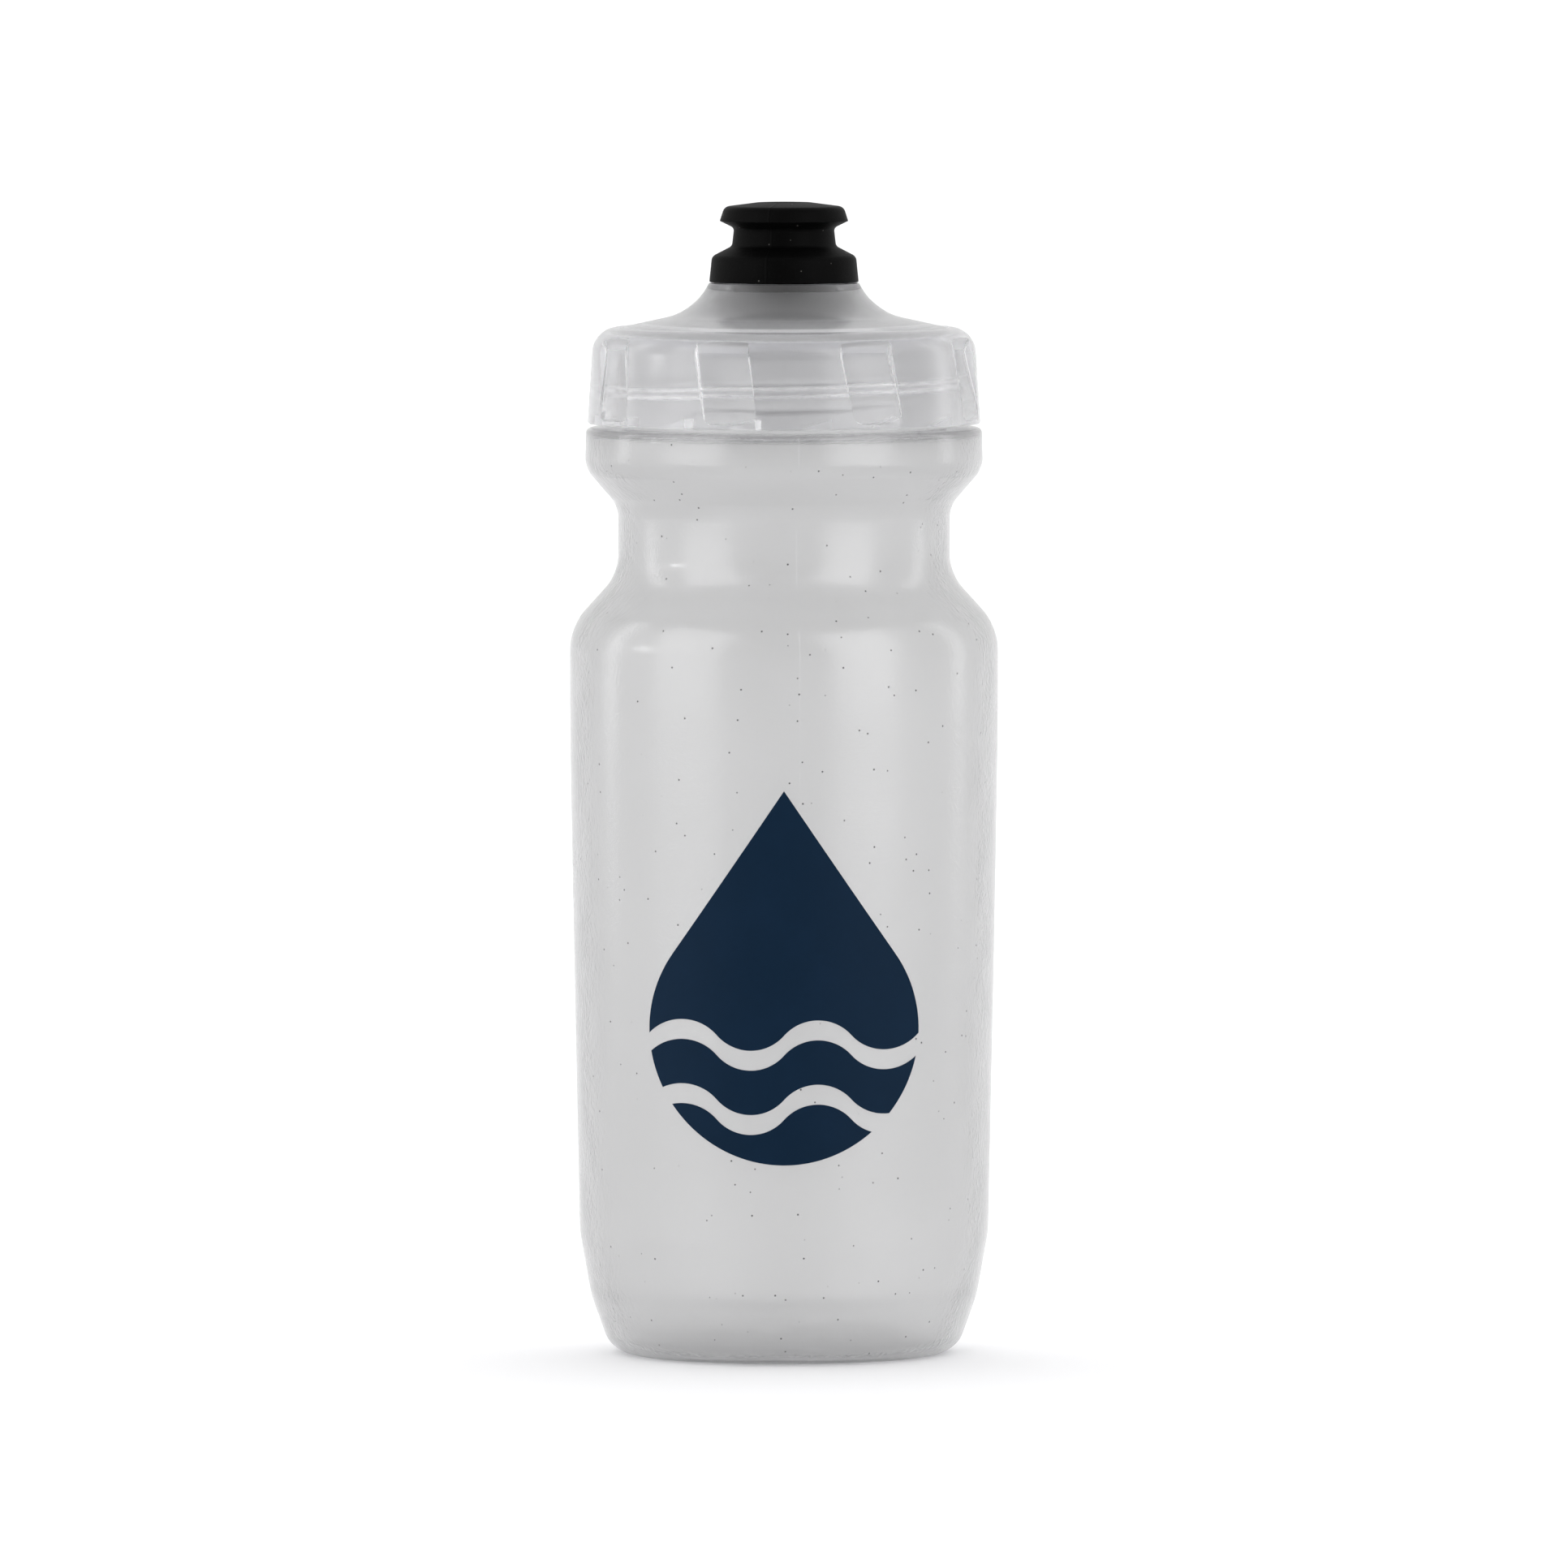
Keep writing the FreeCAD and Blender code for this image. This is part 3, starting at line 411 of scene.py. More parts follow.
def add(
    tree: bpy.types.NodeTree,
    kind: str,
    settings: dict[str | int, object] | None = None,
    links: dict[str | int, bpy.types.NodeSocket] | None = None,
) -> bpy.types.Node:
    """Adds a node to a tree.

    Args:
        tree: The material's or world's nodes.
        kind: The node's type.
        settings: Node properties by name, and values of inputs by name or number.
        links: Output sockets of other nodes, by the name or number of the input that takes them.

    Returns:
        The new node.
    """
    node = tree.nodes.new(kind)
    for name, value in (settings or {}).items():
        if isinstance(name, str) and hasattr(node, name):
            setattr(node, name, value)
        else:
            node.inputs[name].default_value = value
    for name, socket in (links or {}).items():
        tree.links.new(socket, node.inputs[name])
    return node


def new_material(name: str) -> tuple[bpy.types.Material, bpy.types.NodeTree, bpy.types.Node]:
    """Makes an empty node material.

    Args:
        name: What the real material is, in plain words.

    Returns:
        The material, its nodes and its output node.
    """
    material = bpy.data.materials.new(name)
    material.use_nodes = True
    tree = material.node_tree
    tree.nodes.clear()
    return material, tree, tree.nodes.new("ShaderNodeOutputMaterial")


def remap(
    tree: bpy.types.NodeTree,
    value: bpy.types.NodeSocket,
    reads: tuple[float, float],
    gives: tuple[float, float],
    interpolation: str = "LINEAR",
) -> bpy.types.NodeSocket:
    """Turns one range of a value into another, and holds it at the ends.

    Args:
        tree: The material's or world's nodes.
        value: The socket that is read.
        reads: The first and last value of the range that is read.
        gives: What stands for them.
        interpolation: How the values in between are found.

    Returns:
        A value socket.
    """
    limits = {"From Min": reads[0], "From Max": reads[1], "To Min": gives[0], "To Max": gives[1]}
    settings = {"interpolation_type": interpolation, **limits}
    return add(tree, "ShaderNodeMapRange", settings, {"Value": value}).outputs[0]


def bump(
    tree: bpy.types.NodeTree,
    height: bpy.types.NodeSocket,
    rise_mm: float,
    normal: bpy.types.NodeSocket | None = None,
) -> bpy.types.NodeSocket:
    """Raises the surface in the shading by a pattern.

    Args:
        tree: The material's nodes.
        height: The pattern, from 0 to 1.
        rise_mm: How high 1 stands, in millimetres.
        normal: The surface that it stands on, or None for the mesh itself.

    Returns:
        A normal socket.
    """
    links = {"Height": height} if normal is None else {"Height": height, "Normal": normal}
    return add(tree, "ShaderNodeBump", {"Strength": 1.0, "Distance": rise_mm * MM}, links).outputs[0]


def parting_line(
    tree: bpy.types.NodeTree, place: bpy.types.NodeSocket, normal: bpy.types.NodeSocket, angle: float
) -> bpy.types.NodeSocket:
    """Raises the fine ridge that a two-part mould leaves down the front and the back.

    Args:
        tree: The material's nodes.
        place: Object coordinates.
        normal: The surface that the ridge stands on.
        angle: The mould's joint, in degrees from the front towards +X.

    Returns:
        A normal socket.
    """
    turned = add(tree, "ShaderNodeMapping", {"Rotation": (0, 0, -math.radians(angle))}, {"Vector": place})
    across = add(tree, "ShaderNodeSeparateXYZ", None, {0: turned.outputs[0]}).outputs["X"]
    away = add(tree, "ShaderNodeMath", {"operation": "ABSOLUTE"}, {0: across})
    reach = (0.0, SEAM_HALF_WIDTH_MM * MM)
    ridge = remap(tree, away.outputs[0], reach, (1.0, 0.0), "SMOOTHSTEP")
    return bump(tree, ridge, SEAM_HEIGHT_MM, normal)


@dataclass(frozen=True)
class ClearPlastic:
    """Natural polyethylene, polypropylene or silicone: a clear plastic with a haze and a moulded grain.

    The wall takes a little of the light at each of its two faces, scatters some of it as milk does, and
    lets lamps through, so that what stands behind it is lit.
    """

    name: str
    tint: str
    haze: str
    haze_share: float
    roughness: float
    ior: float
    grain_mm: float
    grain_height: float
    wave_mm: float = 28.0
    wave_height: float = 0.0
    speck_mm: float = 0.0
    seam_angle: float | None = None
    lamp_tint: str = "F2F2F3"
    cloud_mm: float = 34.0
    cloud_reads: tuple[float, float] = (0.3, 0.7)
    cloud_gives: tuple[float, float] = (0.985, 1.0)
    speck_edge: tuple[float, float] = (0.05, 0.085)

    def build(self) -> bpy.types.Material:
        """Builds the shader.

        Returns:
            The material.
        """
        material, tree, output = new_material(self.name)
        place = add(tree, "ShaderNodeTexCoord").outputs["Object"]
        surface = self.relief(tree, place)
        clear = self.clear_colour(tree, place)
        plastic = add(
            tree,
            "ShaderNodeBsdfPrincipled",
            {"Roughness": self.roughness, "IOR": self.ior, "Transmission Weight": 1.0},
            {"Base Color": clear, "Normal": surface},
        )
        milk = add(tree, "ShaderNodeBsdfTranslucent", {"Color": linear(self.haze)}, {"Normal": surface})
        chalk = add(tree, "ShaderNodeBsdfDiffuse", {"Color": linear(self.haze)}, {"Normal": surface})
        cloud = add(tree, "ShaderNodeMixShader", {0: 0.5}, {1: milk.outputs[0], 2: chalk.outputs[0]})
        both = {1: plastic.outputs[0], 2: cloud.outputs[0]}
        hazy = add(tree, "ShaderNodeMixShader", {0: self.haze_share}, both)
        through = add(tree, "ShaderNodeBsdfTransparent", {"Color": linear(self.lamp_tint)})
        is_shadow = add(tree, "ShaderNodeLightPath").outputs["Is Shadow Ray"]
        by_ray = {0: is_shadow, 1: hazy.outputs[0], 2: through.outputs[0]}
        lit = add(tree, "ShaderNodeMixShader", None, by_ray)
        tree.links.new(lit.outputs[0], output.inputs["Surface"])
        return material

    def clear_colour(self, tree: bpy.types.NodeTree, place: bpy.types.NodeSocket) -> bpy.types.NodeSocket:
        """Varies the tint by slow clouds and, where asked, by fine dark specks.

        Args:
            tree: The material's nodes.
            place: Object coordinates.

        Returns:
            A colour socket.
        """
        wide = {"Scale": 1 / (self.cloud_mm * MM), "Detail": 2.0}
        clouds = add(tree, "ShaderNodeTexNoise", wide, {"Vector": place})
        drift = remap(tree, clouds.outputs[0], self.cloud_reads, self.cloud_gives)
        multiply = {"data_type": "RGBA", "blend_type": "MULTIPLY", 0: 1.0, 6: linear(self.tint)}
        colour = add(tree, "ShaderNodeMix", multiply, {7: drift}).outputs[2]
        if self.speck_mm:
            size = {"Scale": 1 / (self.speck_mm * MM), "Randomness": 1.0}
            dust = add(tree, "ShaderNodeTexVoronoi", size, {"Vector": place})
            near = remap(tree, dust.outputs["Distance"], self.speck_edge, (1.0, 0.0))
            dark = {"data_type": "RGBA", 7: linear(SPECK_COLOUR)}
            colour = add(tree, "ShaderNodeMix", dark, {0: near, 6: colour}).outputs[2]
        return colour

    def relief(self, tree: bpy.types.NodeTree, place: bpy.types.NodeSocket) -> bpy.types.NodeSocket:
        """Raises the moulded grain, the blown wall's slow waves and the mould's parting line.

        Args:
            tree: The material's nodes.
            place: Object coordinates.

        Returns:
            A normal socket.
        """
        fine = {"Scale": 1 / (self.grain_mm * MM), "Detail": 2.0, "Roughness": 0.6}
        grain = add(tree, "ShaderNodeTexNoise", fine, {"Vector": place})
        normal = bump(tree, grain.outputs[0], self.grain_height)
        if self.wave_height:
            slow = {"Scale": 1 / (self.wave_mm * MM), "Detail": 1.0}
            waves = add(tree, "ShaderNodeTexNoise", slow, {"Vector": place})
            normal = bump(tree, waves.outputs[0], self.wave_height, normal)
        if self.seam_angle is not None:
            normal = parting_line(tree, place, normal, self.seam_angle)
        return normal


@dataclass(frozen=True)
class SolidPlastic:
    """A coloured plastic, rubber or ink that no light passes: even colour, fine grain, a little dust."""

    name: str
    colour: str
    worn: str
    roughness: float
    ior: float
    grain_mm: float
    grain_height: float
    shine: float = 0.5
    dust_share: float = 0.0
    dust_mm: float = 2.4
    seam_angle: float | None = None
    patch_mm: float = 9.0
    patch_edge: tuple[float, float] = (0.42, 0.72)
    dust_edge: tuple[float, float] = (0.04, 0.075)
    smoother: float = 0.06
    rougher: float = 0.08

    def build(self) -> bpy.types.Material:
        """Builds the shader.

        Returns:
            The material.
        """
        material, tree, output = new_material(self.name)
        place = add(tree, "ShaderNodeTexCoord").outputs["Object"]
        uneven = {"Scale": 1 / (self.patch_mm * MM), "Detail": 3.0}
        patches = add(tree, "ShaderNodeTexNoise", uneven, {"Vector": place}).outputs[0]
        share = remap(tree, patches, self.patch_edge, (0.0, 1.0))
        two_tones = {"data_type": "RGBA", 6: linear(self.colour), 7: linear(self.worn)}
        colour = add(tree, "ShaderNodeMix", two_tones, {0: share}).outputs[2]
        if self.dust_share:
            dust = add(tree, "ShaderNodeTexVoronoi", {"Scale": 1 / (self.dust_mm * MM)}, {"Vector": place})
            near = remap(tree, dust.outputs["Distance"], self.dust_edge, (self.dust_share, 0.0))
            lint = {"data_type": "RGBA", 7: linear(LINT_COLOUR)}
            colour = add(tree, "ShaderNodeMix", lint, {0: near, 6: colour}).outputs[2]
        fine = {"Scale": 1 / (self.grain_mm * MM), "Detail": 3.0}
        grain = add(tree, "ShaderNodeTexNoise", fine, {"Vector": place})
        normal = bump(tree, grain.outputs[0], self.grain_height)
        if self.seam_angle is not None:
            normal = parting_line(tree, place, normal, self.seam_angle)
        limits = (self.roughness - self.smoother, self.roughness + self.rougher)
        gloss = remap(tree, patches, (0.0, 1.0), limits)
        plastic = add(
            tree,
            "ShaderNodeBsdfPrincipled",
            {"IOR": self.ior, "Specular IOR Level": self.shine},
            {"Base Color": colour, "Roughness": gloss, "Normal": normal},
        )
        tree.links.new(plastic.outputs[0], output.inputs["Surface"])
        return material


# The grain of every finish here is drawn coarse enough to be seen, so it may be coarser than the real one.
#
# Natural low-density polyethylene, blow-moulded against a sand-blasted mould: milky, satin, pebbled.
BOTTLE_OUTSIDE = ClearPlastic(
    name="milky blow-moulded polyethylene",
    tint="DFDFDF",
    haze="E6E6E6",
    haze_share=0.12,
    roughness=0.17,
    ior=1.5,
    grain_mm=0.6,
    grain_height=0.045,
    wave_mm=26.0,
    wave_height=0.3,
    speck_mm=2.6,
    seam_angle=4.0,
)
# The same wall's inner skin, which touched only air: slow waves where the wall stretched.
BOTTLE_INSIDE = ClearPlastic(
    name="inner skin of blown polyethylene",
    tint="DFDFDF",
    haze="E6E6E6",
    haze_share=0.12,
    roughness=0.3,
    ior=1.5,
    grain_mm=1.4,
    grain_height=0.03,
    wave_mm=18.0,
    wave_height=0.5,
)
# Clarified polypropylene, injection-moulded in a polished mould: glossier than the bottle.
CAP_OUTSIDE = ClearPlastic(
    name="clear moulded polypropylene",
    tint="F1F1F2",
    haze="E6E6E6",
    haze_share=0.05,
    roughness=0.24,
    ior=1.49,
    grain_mm=0.6,
    grain_height=0.008,
)
# The core side of the same moulding, spark-eroded to let go of the threads: frosted.
CAP_INSIDE = ClearPlastic(
    name="frosted core side of polypropylene",
    tint="F1F1F2",
    haze="E6E6E6",
    haze_share=0.08,
    roughness=0.48,
    ior=1.49,
    grain_mm=0.8,
    grain_height=0.01,
)
# The same side over the valve, with painted shade: its tint and haze are darker than the plastic's own and
# stand in for the shade of the black stem and plug, and its roughness blurs them.
CAP_CROWN_PAINTED_SHADE = ClearPlastic(
    name="thick frosted crown of polypropylene",
    tint="A0A0A2",
    haze="D0D0D2",
    haze_share=0.06,
    roughness=0.5,
    ior=1.49,
    grain_mm=0.8,
    grain_height=0.01,
)
# Liquid silicone, moulded: hazy and soft-looking.
SILICONE = ClearPlastic(
    name="clear silicone",
    tint="E4E4E6",
    haze="ECECEE",
    haze_share=0.4,
    roughness=0.4,
    ior=1.41,
    grain_mm=0.8,
    grain_height=0.02,
)
# Two-part screen ink, flamed on: dense navy with a slight satin.
PRINT_INK = SolidPlastic(
    name="navy screen-print ink",
    colour="0D253B",
    worn="0F273E",
    roughness=0.5,
    ior=1.5,
    grain_mm=0.7,
    grain_height=0.008,
    shine=0.05,
)
# Thermoplastic rubber moulded over the stem: near black, dull, and it holds lint.
GRIP_RUBBER = SolidPlastic(
    name="black moulded rubber",
    colour="040404",
    worn="080808",
    roughness=0.5,
    ior=1.5,
    grain_mm=0.4,
    grain_height=0.04,
    shine=0.03,
    dust_share=0.5,
    dust_mm=2.4,
    seam_angle=-14.0,
)
# Filled polypropylene, injection-moulded: black with a satin skin.
BLACK_PLASTIC = SolidPlastic(
    name="black moulded polypropylene",
    colour="080808",
    worn="0C0C0C",
    roughness=0.42,
    ior=1.49,
    grain_mm=0.6,
    grain_height=0.015,
    shine=0.1,
)


def dress(piece: bpy.types.Object, material: bpy.types.Material) -> None:
    """Gives a piece one material all over."""
    piece.data.materials.clear()
    piece.data.materials.append(material)


def dress_where(
    piece: bpy.types.Object, material: bpy.types.Material, wanted: Callable[[Vector, Vector], bool]
) -> None:
    """Gives the faces that a test accepts one more material.

    Args:
        piece: A piece that already has its first material.
        material: The finish of the wanted faces.
        wanted: Takes a face's middle in metres and its normal.
    """
    number = len(piece.data.materials)
    piece.data.materials.append(material)
    for face in piece.data.polygons:
        if wanted(face.center, face.normal):
            face.material_index = number


def away_from_axis(centre: Vector, normal: Vector) -> float:
    """The part of a face's normal that points straight away from the axis."""
    reach = math.hypot(centre.x, centre.y)
    return (normal.x * centre.x + normal.y * centre.y) / max(reach, MM)


# ---------------------------------------------------------------- the object's sub-assemblies


@dataclass
class SqueezeBottle:
    """The blow-moulded shell with the thread on its neck, and the print on its front."""

    outside: list[Corner] = field(
        default_factory=lambda: [
            Corner(POLE_MM, 3.0),
            Corner(19.2, 2.6, 4.0),
            Corner(23.5, 0.0, 1.6),
            Corner(29.6, 0.0, 5.0),
            Corner(33.2, 10.0, 16.0),
            Corner(35.15, 21.0, 12.0),
            Corner(36.3, 78.0, 4000.0),
            Corner(36.8, 109.1, 300.0),
            Corner(36.8, 125.1, 9.5),
            Corner(28.5, 134.3, 8.0),
            Corner(28.5, 145.9, 5.0),
            Corner(34.2, 152.5, 4.5),
            Corner(34.0, 159.4, 0.9),
            Corner(28.0, 159.4, 0.6),
            Corner(28.0, 173.2, 0.5),
        ]
    )
    inside: list[Corner] = field(
        default_factory=lambda: [
            Corner(26.3, 173.2, 0.5),
            Corner(26.3, 158.1, 1.9),
            Corner(33.04, 158.1, 0.5),
            Corner(33.19, 152.86, 3.5),
            Corner(27.5, 146.27, 6.0),
            Corner(27.5, 133.92, 9.0),
            Corner(35.8, 124.72, 8.5),
            Corner(35.8, 109.11, 300.0),
            Corner(35.3, 78.02, 4000.0),
            Corner(34.15, 21.1, 11.0),
            Corner(32.54, 12.0, 14.7),
            Corner(28.69, 1.3, 3.7),
            Corner(23.86, 1.3, 0.3),
            Corner(19.58, 3.89, 5.3),
            Corner(POLE_MM, 4.29),
        ]
    )
    thread: Thread = Thread()
    sides: int = 192
    neck_wall: float = 28.0
    floor_height: float = 20.0
    thread_height: float = 163.2
    thread_turns: float = 1.7143

    def build(self) -> list[bpy.types.Object]:
        """Turns the shell, fuses the thread to it and dresses both pieces.

        Returns:
            The new shell and the printed film.
        """
        shell = Outline(self.outside + self.inside).turn("bottle_shell", self.sides)
        ridge = self.thread.ridge(
            "neck_thread", self.neck_wall, 1, self.thread_height, 0.0, self.thread_turns
        )
        merge(shell, ridge, Merge.FUSE)
        smooth(shell)
        dress(shell, BOTTLE_OUTSIDE.build())
        dress_where(shell, BOTTLE_INSIDE.build(), self.is_inside)
        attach(shell, "bottle")
        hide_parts("squeeze_bottle")
        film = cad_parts["graphic_print"]
        dress(film, PRINT_INK.build())
        return [shell, film]

    def is_inside(self, centre: Vector, normal: Vector) -> bool:
        """Says whether a face of the shell looks at the drink."""
        on_floor = normal.z > -FACES_DOWN and centre.z < self.floor_height * MM
        return on_floor or away_from_axis(centre, normal) < FACES_AXIS


@dataclass
class ScrewCap:
    """The clear cap: skirt with finger pockets and a ratchet, dome, spout, thread and the valve's tube."""

    outline: list[Corner] = field(
        default_factory=lambda: [
            Corner(33.75, 160.1, 0.4),
            Corner(32.7, 176.65, 4.6),
            Corner(28.3, 176.65, 0.1),
            Corner(28.25, 176.3, 0.1),
            Corner(27.85, 176.3, 0.1),
            Corner(27.8, 176.65, 0.1),
            Corner(15.4, 179.35, 10.0),
            Corner(12.9, 184.25, 0.3),
            Corner(10.7, 184.25, 0.2),
            Corner(10.7, 187.85, 0.4),
            Corner(9.3, 187.85, 0.2),
            Corner(9.3, 186.95),
            Corner(9.75, 186.95),
            Corner(9.75, 179.29),
            Corner(10.35, 179.29),
            Corner(10.35, 176.74),
            Corner(10.6, 176.74),
            Corner(10.6, 176.14),
            Corner(10.35, 176.14),
            Corner(10.35, 174.89, 0.2),
            Corner(11.6, 174.89, 0.3),
            Corner(11.6, 182.63),
            Corner(12.1, 182.63),
            Corner(14.42, 178.08, 11.45),
            Corner(23.8, 176.04, 0.3),
            Corner(23.8, 171.5, 0.3),
            Corner(25.0, 171.5, 0.3),
            Corner(25.0, 174.5),
            Corner(29.55, 174.5, 0.3),
            Corner(29.55, 160.1, 0.3),
        ]
    )
    thread: Thread = Thread()
    sides: int = 192
    bore: float = 29.55
    thread_height: float = 161.725
    thread_first: float = 0.3036
    thread_turns: float = 1.25
    pocket_count: int = 8
    pocket_phase: float = -17.4
    pocket_half_width: float = 4.8
    pocket_lean: float = 1.0
    pocket_levels: tuple[tuple[float, float], ...] = ((160.9, 33.35), (172.65, 30.9), (177.15, 32.6))
    pocket_corner: float = 1.4
    pocket_corner_flats: int = 6
    pocket_edge: float = 0.5
    pocket_edge_flats: int = 3
    pocket_reach: float = 1.0
    notch_count: int = 16
    notch_phase: float = 3.5
    notch_length: float = 6.0
    notch_rise: float = 1.75
    notch_outer: float = 32.25
    notch_inner: float = 28.4
    notch_below: float = 0.5
    crown_foot: float = 174.6
    crown_reach: float = 25.5
    tube_reach: float = 13.2
    tube_top: float = 183.0

    def build(self) -> list[bpy.types.Object]:
        """Turns the cap, fuses its thread, cuts pockets and notches, and dresses it with its gasket.

        Returns:
            The new cap and the gasket.
        """
        cap = Outline(self.outline, closed=True).turn("clear_screw_cap", self.sides)
        ridge = self.thread.ridge(
            "cap_thread", self.bore, -1, self.thread_height, self.thread_first, self.thread_turns
        )
        merge(cap, ridge, Merge.FUSE)
        merge(cap, ring_of_copies(self.pocket(), self.pocket_count, self.pocket_phase), Merge.CUT)
        merge(cap, ring_of_copies(self.notch(), self.notch_count, self.notch_phase), Merge.CUT)
        smooth(cap)
        dress(cap, CAP_OUTSIDE.build())
        dress_where(cap, CAP_INSIDE.build(), self.is_inside)
        # painted shade: a darker finish on the crown and tube stands in for the shade of the black stem and
        # plug
        dress_where(cap, CAP_CROWN_PAINTED_SHADE.build(), self.is_in_painted_shade)
        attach(cap, "cap")
        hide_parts("screw_cap")
        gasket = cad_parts["cap_gasket"]
        dress(gasket, SILICONE.build())
        return [cap, gasket]

    @staticmethod
    def is_inside(centre: Vector, normal: Vector) -> bool:
        """Says whether a face of the cap looks at the neck or the ledge."""
        return normal.z < FACES_DOWN or away_from_axis(centre, normal) < FACES_AXIS

    def is_in_painted_shade(self, centre: Vector, normal: Vector) -> bool:
        """Says whether a face is on the inner side of the dome, or on the tube under the spout, where the
        shade of the black stem and plug is painted into the tint.
        """
        reach = math.hypot(centre.x, centre.y)
        if centre.z < self.crown_foot * MM or reach > self.crown_reach * MM:
            return False
        on_tube = reach < self.tube_reach * MM and centre.z < self.tube_top * MM
        return on_tube or self.is_inside(centre, normal)

    def pocket(self) -> bpy.types.Object:
        """Shapes the tool for one finger pocket at the front: a block with a sloping floor and leaning sides.

        Returns:
            A closed block with rounded corners.
        """
        nothing_selected()
        bpy.ops.mesh.primitive_cube_add(size=2)
        block = bpy.context.object
        block.name = "pocket"
        outer = self.outline[0].radius + self.pocket_reach
        levels = dict(zip((-1, 1, 3), self.pocket_levels))
        bpy.ops.object.mode_set(mode="EDIT")
        pick(block, lambda place: place.z > 0)
        bpy.ops.mesh.extrude_region_move(TRANSFORM_OT_translate={"value": (0, 0, 2)})
        for level, (_, floor) in levels.items():
            lean = self.pocket_lean if level < 0 else -self.pocket_lean
            for side, depth in ((1, floor), (-1, outer)):
                pick(block, lambda place: abs(place.z - level) < 0.1 and abs(place.y - side) < 0.1)
                bpy.ops.transform.resize(value=(self.pocket_half_width * MM, 1, 1), center_override=AXIS_FOOT)
                bpy.ops.transform.translate(value=(lean * MM, -depth * MM - side, 0))
        for level in (3, 1, -1):
            pick(block, lambda place: abs(place.z - level) < 0.1)
            bpy.ops.transform.translate(value=(0, 0, levels[level][0] * MM - level))
        bpy.ops.mesh.select_all(action="SELECT")
        bpy.ops.mesh.normals_make_consistent(inside=False)
        self.round_edges(block, self.at_the_foot, self.pocket_corner, self.pocket_corner_flats)
        self.round_edges(block, self.by_the_floor, self.pocket_edge, self.pocket_edge_flats)
        bpy.ops.object.mode_set(mode="OBJECT")
        return block

    def at_the_foot(self, start: Vector, end: Vector) -> bool:
        """Says whether an edge of the pocket's tool is one of its two lower corners."""
        foot = self.pocket_levels[0][0] * MM + TINY
        return max(start.z, end.z) < foot and abs(start.x - end.x) < TINY

    def by_the_floor(self, start: Vector, end: Vector) -> bool:
        """Says whether an edge of the pocket's tool borders the pocket's floor."""
        floor = -(self.outline[0].radius + self.pocket_reach / 2) * MM
        return start.y > floor and end.y > floor

    @staticmethod
    def round_edges(
        block: bpy.types.Object, wanted: Callable[[Vector, Vector], bool], radius: float, steps: int
    ) -> None:
        """Bevels the edges that a test accepts.

        Args:
            block: The object in edit mode.
            wanted: Takes an edge's two ends.
            radius: The bevel's width in millimetres.
            steps: The number of its flats.
        """
        bpy.ops.mesh.select_mode(type="EDGE")
        bpy.ops.mesh.select_all(action="DESELECT")
        mesh = bmesh.from_edit_mesh(block.data)
        for edge in mesh.edges:
            edge.select_set(wanted(edge.verts[0].co, edge.verts[1].co))
        bmesh.update_edit_mesh(block.data)
        bpy.ops.mesh.bevel(
            offset=radius * MM,
            offset_type="OFFSET",
            segments=steps,
            profile=0.5,
            affect="EDGES",
            clamp_overlap=True,
        )

    def notch(self) -> bpy.types.Object:
        """Shapes the tool for one saw-tooth notch at the front.

        Returns:
            A closed wedge.
        """
        nothing_selected()
        middle = -(self.notch_outer + self.notch_inner) / 2
        width = self.notch_outer - self.notch_inner
        foot = self.outline[0].height - self.notch_below
        bpy.ops.mesh.primitive_cube_add(
            size=1,
            location=(self.notch_length / 2 * MM, middle * MM, foot * MM),
            scale=(self.notch_length * MM, width * MM, 2 * self.notch_below * MM),
        )
        wedge = bpy.context.object
        wedge.name = "notch"
        fix_in_place(wedge)
        bpy.ops.object.mode_set(mode="EDIT")
        pick(wedge, lambda place: place.x > 0.1 * MM and place.z > foot * MM)
        bpy.ops.transform.translate(value=(0, 0, self.notch_rise * MM))
        bpy.ops.object.mode_set(mode="OBJECT")
        return wedge


@dataclass
class DrinkValve:
    """What the cap holds under its spout: spoked plug, slit membrane and the ring that keeps them up."""

    black_nodes: tuple[str, ...] = ("plug_insert", "valve_retainer")
    clear_nodes: tuple[str, ...] = ("valve_membrane",)

    def build(self) -> list[bpy.types.Object]:
        """Dresses the three pieces.

        Returns:
            The pieces.
        """
        black, clear = BLACK_PLASTIC.build(), SILICONE.build()
        for name in self.black_nodes:
            dress(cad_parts[name], black)
        for name in self.clear_nodes:
            dress(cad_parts[name], clear)
        return [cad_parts[name] for name in self.black_nodes + self.clear_nodes]


@dataclass
class PushPullNozzle:
    """The black rubber grip over its stiff core."""

    grip: list[Corner] = field(
        default_factory=lambda: [
            Corner(11.1, 184.4, 0.2),
            Corner(12.85, 184.4, 0.2),
            Corner(12.4, 188.8, 1.1),
            Corner(8.95, 190.6, 0.9),
            Corner(8.6, 193.7, 0.8),
            Corner(11.05, 194.9, 0.12),
            Corner(10.25, 197.35, 1.2),
            Corner(4.55, 198.1, 0.8),
            Corner(3.15, 197.8, 0.3),
            Corner(3.15, 196.4),
            Corner(8.4, 196.4),
            Corner(8.4, 195.1),
            Corner(7.3, 195.1),
            Corner(7.3, 190.07),
            Corner(9.22, 188.15),
            Corner(11.1, 188.15, 0.3),
        ]
    )
    sides: int = 128

    def build(self) -> list[bpy.types.Object]:
        """Turns the grip and dresses it with the core.

        Returns:
            The new grip and the core.
        """
        grip = Outline(self.grip, closed=True).turn("rubber_grip", self.sides)
        smooth(grip)
        dress(grip, GRIP_RUBBER.build())
        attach(grip, "nozzle")
        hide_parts("nozzle_grip")
        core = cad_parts["nozzle_core"]
        dress(core, BLACK_PLASTIC.build())
        return [grip, core]


# ---------------------------------------------------------------- the studio


